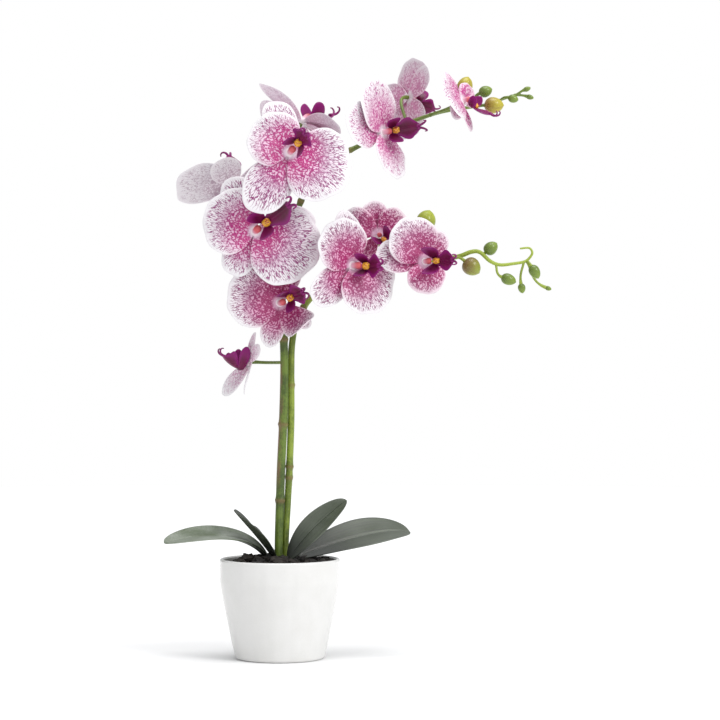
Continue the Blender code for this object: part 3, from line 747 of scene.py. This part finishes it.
def leaf_finish(name, depth, painted_sheen_share=0.4):
    """Dark waxy green with fine veins along the leaf and a paler midrib. Pale patches over it are a
    painted sheen, and painted shade darkens it towards the root.
    """
    shade = Finish(name, Coat_Weight=0.35, Coat_Roughness=0.36)
    place = shade.place()
    across, along, _ = shade.parts(place)
    value, grain = shade.mottle()
    veins = shade.noise(shade.stretched(place, 70.0, 1.2, 1.0), 1.0, 2.0)
    # depth scales every colour of the leaf: above 1 it is painted light, below 1 painted shade.
    dark, light, pale, underside = (scaled(colour, depth) for colour in (
        (0.026, 0.036, 0.020), (0.062, 0.082, 0.042), (0.15, 0.165, 0.14), (0.060, 0.080, 0.040)
    ))
    body = shade.mix(shade.spread(veins, 0.35, 0.65), dark, light)
    # Painted sheen: pale patches over the leaf, more of them on a lit leaf.
    body = shade.mix(value * painted_sheen_share, body, pale)
    off_rib = shade.calc("ABSOLUTE", across - 0.5)
    body = shade.mix(shade.spread(off_rib, 0.006, 0.03, 0.5, 0.0), body, scaled(pale, 0.9))
    body = shade.mix(shade.spread(off_rib, 0.478, 0.5, 0.0, 0.5), body, pale)
    body = shade.mix(shade.mark("face"), underside, body)
    # Painted shade: the leaf darkens towards its root.
    shaded_at_root = shade.mix(shade.spread(along, 0.04, 0.55), scaled(dark, 0.4), body)
    return shade.done(shaded_at_root, shade.spread(value, 0.0, 1.0, 0.36, 0.5), veins + grain * 0.2, 0.3, 0.0005)


def bud_finish(name, green, blush):
    """Bud skin: green, with a darker blush gathering at the root and along the seams."""
    shade = Finish(name, Coat_Weight=0.3)
    along = shade.parts(shade.place())[1]
    value, grain = shade.mottle(-0.15, 0.15)
    root = shade.spread(along + value, 0.25, 0.85, 0.85, 0.0)
    colour = shade.mix(shade.calc("MAXIMUM", root, shade.mark("seam") * 0.6), green, blush)
    return shade.done(colour, shade.spread(grain, 0.2, 0.8, 0.38, 0.52), grain, 0.2, 0.0003)


def glaze_finish():
    """White glaze over clay that was thrown with faint upright flutes; it pools a little unevenly."""
    shade = Finish("pot_glaze", Coat_Weight=0.35, Coat_Roughness=0.08)
    value, grain = shade.mottle()
    colour = shade.mix(value, (0.70, 0.695, 0.675), (0.735, 0.73, 0.715))
    flutes = shade.noise(shade.stretched(shade.solid(), 1.0, 1.0, 0.12), 70.0, 1.0)
    return shade.done(colour, shade.spread(value, 0.0, 1.0, 0.16, 0.26), flutes + grain * 0.02, 0.35, 0.0025)


def bark_finish():
    """Near-black damp bark, fibrous, with a few browner faces."""
    shade = Finish("bark_dark")
    value, grain = shade.mottle()
    colour = shade.mix(value, (0.006, 0.005, 0.005), (0.030, 0.022, 0.017))
    fibres = shade.noise(shade.solid(), 350.0, 6.0)
    return shade.done(colour, shade.spread(grain, 0.2, 0.8, 0.6, 0.95), fibres, 0.8, 0.0012)


TEPAL_LOOKS = {
    "rose": ((0.78, 0.62, 0.73), (0.79, 0.42, 0.62), (0.48, 0.001, 0.18), (0.25, 0.015, 0.15), 1.45, 0.35),
    # Deep-coloured petals; on flower_05 they stand in as painted shade.
    "deep": ((0.70, 0.44, 0.58), (0.72, 0.26, 0.46), (0.34, 0.001, 0.11), (0.21, 0.01, 0.11), 1.65, 0.45),
    "pale": ((0.82, 0.66, 0.75), (0.80, 0.46, 0.62), (0.50, 0.03, 0.24), (0.42, 0.10, 0.27), 1.2, 0.75),
    # Painted shade: dulled ground and ink for the petals of a flower in shadow.
    "shadowed": ((0.78, 0.75, 0.78), (0.74, 0.62, 0.70), (0.30, 0.08, 0.21), (0.30, 0.16, 0.25), 1.1, 0.6),
    "faint": ((0.80, 0.74, 0.78), (0.79, 0.64, 0.72), (0.60, 0.28, 0.45), (0.58, 0.40, 0.50), 1.0, 0.6),
}
BUD_LOOKS = {
    "green": ((0.20, 0.29, 0.028), (0.11, 0.17, 0.02)),
    "lime": ((0.40, 0.46, 0.03), (0.24, 0.28, 0.02)),
    "olive": ((0.48, 0.41, 0.028), (0.26, 0.15, 0.025)),
    "brown": ((0.27, 0.31, 0.03), (0.17, 0.085, 0.03)),
}
TEPAL = {tone: tepal_finish("tepal_" + tone, *looks) for tone, looks in TEPAL_LOOKS.items()}
LIP = lip_finish()
CALLUS = callus_finish()
COLUMN = column_finish()
THROAT = throat_finish()
STEM = {
    "a": stem_finish("stem_green", (0.05, 0.085, 0.010), (0.13, 0.20, 0.022), (0.20, 0.29, 0.045), True),
    "b": stem_finish("stem_lime", (0.11, 0.16, 0.015), (0.25, 0.33, 0.035), (0.40, 0.50, 0.065), False),
}
LEAF = {
    "open": leaf_finish("leaf_dark", 1.0),
    # Painted light: colours raised and more painted sheen, for the lit top of leaf_left.
    "bright": leaf_finish("leaf_painted_light", 1.9, 0.9),
    # Painted shade: every colour darkened, for leaves that stand in shadow.
    "shaded": leaf_finish("leaf_painted_shade", 0.45),
}
BUD = {tone: bud_finish("bud_" + tone, *looks) for tone, looks in BUD_LOOKS.items()}
GLAZE = glaze_finish()
BARK = bark_finish()


# ---- pot and bark


def round_corner(centre, radius, start, end, steps):
    angle = np.radians(np.linspace(start, end, steps))
    return np.stack([centre[0] + radius * np.cos(angle), centre[1] + radius * np.sin(angle)], -1)


def wall_radius(height):
    """The pot's outer radius: upright at the shoulder, then in towards the base in a soft bow."""
    shoulder = POT_HEIGHT - POT_SHOULDER_DROP
    down = np.clip(1 - height / shoulder, 0, 1)
    return POT_RIM_RADIUS - (POT_RIM_RADIUS - POT_BASE_RADIUS) * down ** 1.15


def make_pot():
    """The pot's profile: flat underside, rounded foot, bowed wall, round rim, inner wall and floor."""
    edge, rim_half = POT_EDGE_ROUND, POT_WALL / 2
    foot = round_corner((wall_radius(edge) - edge, edge), edge, -90, 0, 8)
    outer_height = np.linspace(edge + 1, POT_HEIGHT - rim_half - 0.6, 44)
    outer = np.stack([wall_radius(outer_height), outer_height], -1)
    rim = round_corner((POT_RIM_RADIUS - rim_half, POT_HEIGHT - rim_half), rim_half, 0, 180, 14)
    inner_height = np.linspace(POT_HEIGHT - rim_half - 1, POT_FLOOR + 2, 30)
    inner = np.stack([wall_radius(inner_height) - POT_WALL, inner_height], -1)
    profile = np.concatenate([
        [[0, 0], [POT_BASE_RADIUS * 0.5, 0]], foot, outer, rim, inner,
        [[inner[-1, 0] - 2, POT_FLOOR], [10, POT_FLOOR], [0, POT_FLOOR]],
    ])
    put_piece("pot_glazed", turned(profile, POT_SIDES), GLAZE, "glaze", "pot")


def bark_height(radius):
    return BARK_TOP + BARK_RISE * np.clip(1 - (radius / BARK_REACH) ** 2, 0, 1)


def make_bark():
    """A dark mound that fills the pot, and loose chips of bark lying on it: rough lumps, stretched and
    turned. On one side they are heaped up a little."""
    radius = np.linspace(BARK_REACH - 1, 0, 20)
    crown = np.stack([radius, bark_height(radius) - 1.5], -1)[::-1]
    side_height = np.linspace(BARK_TOP - 3, POT_FLOOR + 0.5, 10)
    side = np.stack([wall_radius(side_height) - POT_WALL - 0.5, side_height], -1)
    profile = np.concatenate([crown, side, [[20, POT_FLOOR + 0.5], [0, POT_FLOOR + 0.5]]])[::-1]
    put_piece("bark_mound", turned(profile, BARK_SIDES), BARK, "bark", "bark")

    rng = np.random.default_rng(7)
    polar, angle = np.linspace(0, math.pi, 6)[:, None], circle(7)
    lump = skin(np.stack([
        np.sin(polar) * np.cos(angle), np.sin(polar) * np.sin(angle), np.cos(polar) + 0 * angle
    ], -1)[::-1])
    rough = 1 + rng.uniform(-0.28, 0.28, (CHIP_COUNT, len(lump.points), 1))
    stretch = rng.uniform([3.4, 2.6, 2.0], [8.0, 5.6, 4.0], (CHIP_COUNT, 3))
    chips = lump.points[None] * rough * stretch[:, None]
    turn = rng.uniform(0, 2 * math.pi, CHIP_COUNT)
    lean = rng.uniform(-0.6, 0.6, CHIP_COUNT)
    cos_t, sin_t, cos_l, sin_l = np.cos(turn), np.sin(turn), np.cos(lean), np.sin(lean)
    spin = np.stack([
        np.stack([cos_t, -sin_t * cos_l, sin_t * sin_l], -1),
        np.stack([sin_t, cos_t * cos_l, -cos_t * sin_l], -1),
        np.stack([np.zeros(CHIP_COUNT), sin_l, cos_l], -1),
    ], 1)
    chips = np.einsum("nij,npj->npi", spin, chips)
    reach = CHIP_REACH * np.sqrt(rng.uniform(0.0, 1.0, CHIP_COUNT))
    where = rng.uniform(0, 2 * math.pi, CHIP_COUNT)
    east, north = reach * np.cos(where), reach * np.sin(where)
    heap = BARK_HEAP_RISE * np.exp(-((east + 24) ** 2 + (north + 12) ** 2) / 20 ** 2)
    seat = np.stack([east, north, bark_height(reach) + rng.uniform(0, 5.0, CHIP_COUNT) + heap], -1)
    heaped = joined([lump._replace(points=points) for points in chips + seat[:, None]])
    made = put_piece("bark_chips", heaped._replace(place=None), BARK, "bark")
    made.data.shade_flat()


# ---- spikes and stalks


def spike_place(key, offset):
    return SPIKE_FEET[key] + np.asarray(offset, float)


def make_spike(key):
    """The axis of a spike: a pipe along its route that thins along its arch, with a swollen ring and a low
    papery collar at each joint."""
    buried = spike_place(key, [0, 0, 1 - SPIKE_DEPTH])
    path = np.concatenate([[buried], smooth_line(spike_place(key, SPIKE_ROUTES[key]), SPIKE_STEPS)])
    share = np.concatenate([[0], np.linspace(0, 1, SPIKE_STEPS)])
    radii = SPIKE_RADII[key] * (1 - (1 - SPIKE_TIP_SHARE) * np.maximum(share - 0.2, 0) / 0.8)
    radii = radii * (1 - 0.2 * np.clip((share - 0.45) / 0.55, 0, 1))
    steps = np.linalg.norm(np.diff(path, axis=0), axis=1)
    length = np.concatenate([[0], np.cumsum(steps)]) - SPIKE_DEPTH
    rings = np.array(RINGS[key])[:, None]
    swell = np.exp(-(((length - rings) / RING_HALF_WIDTH) ** 2)).max(axis=0)
    skirt = (np.clip(1 - (length - rings) / COLLAR_LENGTH, 0, 1) * (length > rings)).max(axis=0)
    shape = pipe(path, radii * (1 + 0.17 * swell + 0.10 * skirt), SPIKE_SIDES)
    middle = pipe_mark(path[:, 0], path[0, 0], path[-1, 0], SPIKE_SIDES)
    age = np.clip((length / length[-1] - 0.5) / 0.45, 0, 1)
    marks = {
        "collar": pipe_mark(swell, 0, 0, SPIKE_SIDES),
        "left": (middle - shape.points[:, 0]) / SPIKE_RADII[key] * 0.5 + 0.5,
        "young": pipe_mark(age, 0, 1, SPIKE_SIDES),
    }
    put_piece("spike_%s_axis" % key, shape._replace(marks=marks), STEM[key], "spike_green", "spike_" + key)


def stalk(key, spec, heading, gap, radius, head):
    """A stalk from the spike to a flower or a bud, along a cubic that leaves the spike straight and comes
    in along the heading. It swells a little at both ends."""
    start = on_line(spike_place(key, SPIKE_ROUTES[key]), np.array(float(spec.station)))
    end = spike_place(key, spec.centre) - heading * gap
    reach = np.linalg.norm(end - start)
    pull = min(reach * 0.5, 22.0)
    t = np.linspace(0, 1, 40)[:, None]
    path = (
        start * (1 - t) ** 3
        + (start + (end - start) / reach * pull * 0.6) * 3 * t * (1 - t) ** 2
        + (end - heading * pull) * 3 * t ** 2 * (1 - t)
        + end * t ** 3
    )
    t = t[:, 0]
    radii = radius * (1 + 0.35 * np.exp(-((t / 0.07) ** 2)) + head * np.exp(-(((1 - t) / 0.12) ** 2)))
    return pipe(path, radii, 14)


def make_stalks(key):
    ends = [(spec, flower_axes(spec)[2], LAYER_SHIFT + 0.2, STALK_RADIUS * 0.92, 0.35) for spec in FLOWERS]
    ends += [(spec, bud_tip(spec), spec.length / 2 - 0.6, BUD_STALK_RADIUS, 0.5) for spec in BUDS]
    shape = joined([stalk(key, *end) for end in ends if end[0].spike == key])
    none = np.zeros(len(shape.points))
    marks = {"collar": none, "left": none, "young": none + 0.6}
    put_piece("spike_%s_stalks" % key, shape._replace(marks=marks), STEM[key], "spike_green", "spike_" + key)


# ---- buds


def bud_tip(spec):
    angle = math.radians(spec.direction)
    return np.array([math.cos(angle), 0.0, math.sin(angle)])


def make_bud(spec):
    """An egg, fuller towards its root, with a blunt beak at the tip and the three shallow seams of its closed
    sepals: the cosine of the polar angle along it, its sine across it."""
    rows, cols = BUD_GRID
    polar = np.linspace(0, math.pi, rows)[:, None]
    angle = circle(cols)[None]
    off_seam = np.abs((angle * 3 / (2 * math.pi) + 0.5) % 1 - 0.5) * 2
    seam = np.exp(-((off_seam / 0.13) ** 2)) * np.sin(polar) ** 0.5
    radius = spec.width / 2 * np.sin(polar) * (1 + 0.13 * np.cos(polar)) * (1 - 0.035 * seam)
    tip = bud_tip(spec)
    side = np.array([-tip[2], 0.0, tip[0]])
    third = np.cross(tip, side)
    beak = 0.035 * spec.length * np.clip((polar / math.pi - 0.88) / 0.12, 0, 1) ** 2
    axis = -np.cos(polar) * spec.length / 2 + beak
    grid = (
        spike_place(spec.spike, spec.centre)
        + axis[..., None] * tip
        + (radius * np.cos(angle))[..., None] * side
        + (radius * np.sin(angle))[..., None] * third
    )
    marks = {"seam": np.concatenate([seam[1:-1].ravel(), [0, 0]])}
    finish = BUD[TONES.get(spec.name, "green")]
    put_piece(spec.name + "_skin", skin(grid)._replace(marks=marks), finish, "bud", spec.name)


# ---- flowers


def flower_axes(spec):
    """Rows: towards the back sepal, to that sepal's left, and out of the flower's face."""
    turn, lift, roll = (math.radians(value) for value in (spec.turn, spec.lift, spec.roll))
    face = np.array([math.sin(turn) * math.cos(lift), -math.cos(turn) * math.cos(lift), math.sin(lift)])
    right = np.array([math.cos(turn), math.sin(turn), 0.0])
    up = np.cross(face, right)
    back_sepal = right * math.cos(roll) + up * math.sin(roll)
    return np.stack([back_sepal, np.cross(face, back_sepal), face])


def lobe_of(spec, key):
    lobe = LOBES[key]._replace(**spec.changes.get(key, {}))
    return lobe._replace(length=lobe.length * spec.size)


def blade(lobe, origin, axes, thick, grid, look):
    """A blade as a fan of spokes from the flower's middle: a spoke's reach is the hub and then the power of
    a cosine across the blade. Past the hub the flat fan is bent along its length through the lobe's fold
    and curl, and cupped with the square of the distance across. The rim waves (ruffle), turns back
    (reflex), and a groove runs down the middle (crease)."""
    rows, cols = grid
    ruffle, crease, reflex, phase = look
    spoke = lobe.half_span * np.sin(math.pi / 2 * np.linspace(-1, 1, cols))[None]
    offset = np.radians(spoke)
    share = (np.linspace(0.03, 1, rows) ** 0.85)[:, None]
    closing = np.maximum(np.cos(math.pi / 2 * np.abs(spoke) / lobe.half_span), 0)
    waver = 1 + 0.014 * np.sin(7 * offset + phase) + 0.010 * np.sin(15 * offset + 2 * phase)
    reach = HUB_RADIUS + (lobe.length - HUB_RADIUS) * closing ** lobe.fullness * waver
    distance = reach * share
    forward, across = distance * np.cos(offset), distance * np.sin(offset)
    fold, turning = math.radians(lobe.fold), math.radians(lobe.curl) / lobe.length
    past = np.maximum(forward - HUB_RADIUS, 0)
    out = (np.sin(fold + turning * past) - math.sin(fold)) / turning
    rise = (math.cos(fold) - np.cos(fold + turning * past)) / turning
    rise = rise + lobe.cup * across ** 2 / lobe.length
    body = np.clip(distance / lobe.length, 0, 1)
    ruffle = ruffle * min(lobe.length / 50, 1.1) ** 2
    rise = rise + ruffle * body ** 3 * np.sin(5.3 * offset + phase)
    rise = rise + 0.6 * ruffle * body ** 2 * np.sin(2.1 * offset - phase)
    rise = rise + 0.5 * ruffle * body ** 5 * np.sin(13 * offset + 3 * phase)
    rise = rise - crease * np.exp(-((across / 2.2) ** 2)) * np.sin(math.pi * body) ** 0.5
    rise = rise - reflex * np.clip((share - 0.72) / 0.28, 0, 1) ** 2 * closing ** 0.3
    x, y = np.minimum(forward, HUB_RADIUS) + out, across
    cos, sin = math.cos(math.radians(lobe.angle)), math.sin(math.radians(lobe.angle))
    local = np.stack([x * cos - y * sin, x * sin + y * cos, rise], -1)
    place = np.stack(np.broadcast_arrays(offset / math.pi + 0.5, distance / PLACE_REACH), -1)
    share = np.broadcast_to(share, distance.shape)
    marks = {"rim": share, "phase": 0 * share + 9 * phase}
    return sheet(origin + local @ axes, thick * (1 - 0.62 * share ** 2), place, marks)


def make_column(spec, axes, origin, away):
    """The finger between the petals, which leans over the lip, and the cap at its tip."""
    steps = np.array([(-0.8, 0.0), (1.6, 0.0), (3.8, 0.4), (5.8, 1.5), (7.0, 3.2)]) * spec.size
    path = smooth_line(origin + steps[:, :1] * axes[2] + steps[:, 1:] * away, 26)
    t = np.linspace(0, 1, 26)
    radii = spec.size * (2.9 - 0.9 * np.sin(math.pi * t) ** 2 * (1 - t) + 0.5 * t - 0.7 * t ** 6)
    put_piece(spec.name + "_column", pipe(path, radii, 22), COLUMN, "tepal", spec.name + "_petals")


def make_throat(spec, axes, centre):
    """The flower's middle, where its blades grow together: a low white dome, turned about the face axis."""
    girth = np.array([0.0, 1.5, 2.4, 3.4, 4.2, 4.4, 4.2, 3.3, 1.8, 0.0])
    height = np.array([-3.2, -3.1, -2.6, -2.2, -1.2, 0.2, 1.5, 2.3, 2.7, 2.8])
    profile = smooth_line(np.stack([girth, height], -1), 22)
    profile[:, 0] = np.maximum(profile[:, 0], 0)
    shape = turned(profile, 32)
    shape = shape._replace(points=centre + shape.points @ axes * spec.size)
    put_piece(spec.name + "_throat", shape, THROAT, "tepal", spec.name + "_petals", spec.name + "_sepals")


def tongue_surface(lobe, size):
    """The lip's middle lobe: narrow at its root, widening to the shoulders of an arrowhead, then in to the
    tip. It bends up along its length, its sides rise with the square of the distance out, and a keel runs
    along it."""
    rows, cols = TONGUE_GRID
    along = np.linspace(0, 1, rows)[:, None]
    side = np.linspace(-1, 1, cols)[None]
    half_girths = np.array([4.2, 4.6, 6.4, 8.8, 10.2, 9.8, 7.2, 4.6, 2.3])[:, None]
    length = lobe.length * 0.9
    bend = math.radians(lobe.curl) / length
    turning = bend * (along * length)
    x = np.sin(turning) / bend + 0 * side
    y = smooth_line(half_girths, rows) * size * side
    z = (1 - np.cos(turning)) / bend + lobe.cup * y ** 2 / lobe.length
    z = z + 1.3 * size * np.exp(-((y / (1.3 * size)) ** 2)) * np.sin(math.pi * along)
    place = np.stack(np.broadcast_arrays(side / 2 + 0.5, along), -1)
    return np.stack([x, y, z], -1), place, np.maximum(np.abs(side), along ** 3)


def make_lip(spec, axes, centre, away):
    """The lip: a tongue ending in two hooked tendrils, two upright wings, and the yellow cushion between
    them."""
    face, size = axes[2], spec.size
    dip = math.radians(spec.lip_dip)
    forward = face * math.cos(dip) + away * math.sin(dip)
    over = face * math.sin(dip) - away * math.cos(dip)
    lip_axes = np.stack([forward, np.cross(over, forward), over])
    seat = centre + (face * 8.0 + away * 9.0) * size
    node = spec.name + "_lip"
    local, place, rim = tongue_surface(lobe_of(spec, "lip_tongue"), size)
    tongue = sheet(seat + local @ lip_axes, size * (2.2 - 1.5 * rim ** 2), place, {"rim": rim})
    put_piece(spec.name + "_lip_tongue", tongue, LIP, "lip", node)
    tip = local[-1].mean(axis=0)
    hook = np.array([
        (-3.0, 0.8, -0.3), (0.8, 1.5, 0.3), (3.4, 2.8, 1.6), (4.6, 4.2, 4.2), (3.6, 5.0, 6.4), (1.6, 5.0, 6.8)
    ]) * size
    radii = size * np.linspace(1.4, 0.5, 30)
    tendrils = joined([
        pipe(smooth_line(seat + (tip + hook * [1, hand, 1]) @ lip_axes, 30), radii, 10) for hand in (-1, 1)
    ])
    tendrils = tendrils._replace(marks={"rim": np.full(len(tendrils.points), 0.8)})
    put_piece(spec.name + "_lip_tendrils", tendrils, LIP, "lip", node)
    for hand, phase in (("left", 1.0), ("right", 2.2)):
        lobe = lobe_of(spec, "lip_%s_wing" % hand)
        wing = blade(lobe, seat, lip_axes, WING_THICKNESS, WING_GRID, (0.7, 0.3, -1.2, phase))
        put_piece(spec.name + "_lip_wing_" + hand, wing, LIP, "lip", node)
    rows, cols = CALLUS_GRID
    polar = np.linspace(0, math.pi, rows)[::-1, None]
    angle = circle(cols)[None]
    cleft = 1 - 0.22 * np.exp(-((np.sin(angle) / 0.35) ** 2)) * np.sin(polar)
    bump = np.stack([
        4.2 * np.sin(polar) * np.cos(angle) * cleft, 3.4 * np.sin(polar) * np.sin(angle),
        3.0 * np.cos(polar) + 0 * angle,
    ], -1) * size
    cushion = skin(seat + (bump + np.array([2.2, 0.0, 2.6]) * size) @ lip_axes)
    put_piece(spec.name + "_callus", cushion, CALLUS, "lip", node)


def make_flower(spec, number):
    """Three sepals behind two petals, the throat and the column in their middle, and the lip."""
    axes = flower_axes(spec)
    centre = spike_place(spec.spike, spec.centre)
    swing = math.radians(spec.lip_turn)
    away = -axes[0] * math.cos(swing) - axes[1] * math.sin(swing)
    finish = TEPAL[TONES.get(spec.name, "rose")]
    for layer, keys, shift, look, phase, phase_step in (
        ("_sepals", ("back_sepal", "left_sepal", "right_sepal"), -LAYER_SHIFT, (0.9, 0.7, 1.6), 1.7, 2.1),
        ("_petals", ("left_petal", "right_petal"), LAYER_SHIFT, (1.5, 0.8, 2.2), 2.3, 1.3),
    ):
        for step, key in enumerate(keys):
            look_here = (*look, number * phase + step * phase_step)
            origin = centre + axes[2] * shift
            shape = blade(lobe_of(spec, key), origin, axes, TEPAL_THICKNESS, BLADE_GRID, look_here)
            put_piece("%s_%s" % (spec.name, key), shape, finish, "tepal", spec.name + layer)
    make_throat(spec, axes, centre)
    make_column(spec, axes, centre + axes[2] * LAYER_SHIFT, away)
    make_lip(spec, axes, centre, away)


# ---- leaves


def make_leaf(spec):
    """A strap along a quadratic curve: widest past its middle, round-tipped, with its sides raised in a
    channel, a groove down the midrib and a slow wave along its margins."""
    base, middle, tip = np.array([spec.base, spec.middle, spec.tip], float) + [0, 0, POT_HEIGHT]
    rows, cols = LEAF_GRID
    side = np.linspace(-1, 1, rows)[:, None]
    t = (1 - (1 - np.linspace(0, 1, cols)) ** 1.5)[None]
    spine = base * (1 - t[..., None]) ** 2 + middle * 2 * (t * (1 - t))[..., None] + tip * t[..., None] ** 2
    heading = unit((middle - base) * (1 - t[..., None]) + (tip - middle) * t[..., None])
    level = unit(np.cross(heading, [0.0, 0.0, 1.0]))
    roll = math.radians(spec.roll)
    flat = level * math.cos(roll) + np.cross(heading, level) * math.sin(roll)
    up = np.cross(flat, heading)
    width = spec.half_width * (0.24 * (1 - t) ** 0.5 + 0.80 * np.sin(math.pi * t ** 1.25) ** 0.44)
    lift = spec.channel * np.abs(side) ** 1.5 * width - 1.3 * np.exp(-((side / 0.07) ** 2)) * (1 - t) ** 0.3
    lift = lift + 0.9 * side ** 2 * np.sin(7 * t + 1.5 * side)
    surface = spine + flat * (side * width)[..., None] + up * lift[..., None]
    thickness = 2.3 * (1 - 0.62 * side ** 2) * (1 - 0.45 * t ** 3)
    place = np.stack(np.broadcast_arrays(side / 2 + 0.5, t), -1)
    finish = LEAF[TONES.get(spec.name, "open")]
    put_piece(spec.name + "_blade", sheet(surface, thickness, place, {}), finish, "leaf_green", spec.name)


# ---- floor, light and camera


def studio():
    """A pale floor, a white surround that lights softly from all round, and a soft key light from the
    right."""
    scene = bpy.context.scene
    angle = circle(96)
    east, north = FLOOR_RADIUS * np.cos(angle), FLOOR_RADIUS * np.sin(angle)
    points = np.stack([east, north, 0 * angle - FLOOR_DROP], -1)
    mesh = bpy.data.meshes.new("floor")
    mesh.from_pydata((points * MM).tolist(), [], [list(range(len(points)))])
    floor = put_object("floor", mesh)
    mesh.materials.append(Finish("floor_white", Base_Color=(0.86, 0.86, 0.86, 1.0), Roughness=0.9).material)

    world = bpy.data.worlds.new("studio")
    world.use_nodes = True
    scene.world = world
    shade = Shade(world.node_tree)
    seen = world.node_tree.nodes["Background"]
    seen.inputs["Color"].default_value = (1.0, 1.0, 1.0, 1.0)
    seen.inputs["Strength"].default_value = 1.0
    lit = shade.result("ShaderNodeBackground", {"Color": (0.97, 0.98, 1.0, 1.0), "Strength": 0.62})
    camera_ray = shade.result("ShaderNodeLightPath", output="Is Camera Ray")
    either = shade.result("ShaderNodeMixShader", {0: camera_ray, 1: lit, 2: Value(shade, seen.outputs[0])})
    shade.feed(world.node_tree.nodes["World Output"].inputs["Surface"], either)

    for name, direction, energy, width in (
        ("key", (0.70, -0.55, 0.5), 1.25, 24.0), ("top", (0.05, -0.12, 1.0), 2.0, 44.0),
    ):
        light = bpy.data.lights.new(name, "SUN")
        light.energy = energy
        light.angle = math.radians(width)
        towards = unit(np.array(direction))
        turn = math.atan2(towards[1], towards[0]) + math.pi / 2
        put_object(name, light).rotation_euler = (math.acos(towards[2]), 0, turn)

    lens = bpy.data.cameras.new("camera")
    lens.sensor_width = 36.0
    lens.lens = 119.6
    camera = put_object("camera", lens)
    camera.location = (0.0736, -2.2, 0.274)
    camera.rotation_euler = (math.pi / 2, 0, 0)
    scene.camera = camera
    scene.view_settings.view_transform = "Standard"


# ---- the whole plant


studio()
make_pot()
make_bark()
for key in SPIKE_ROUTES:
    make_spike(key)
    make_stalks(key)
for spec in BUDS:
    make_bud(spec)
for number, spec in enumerate(FLOWERS):
    make_flower(spec, number)
for spec in LEAVES:
    make_leaf(spec)
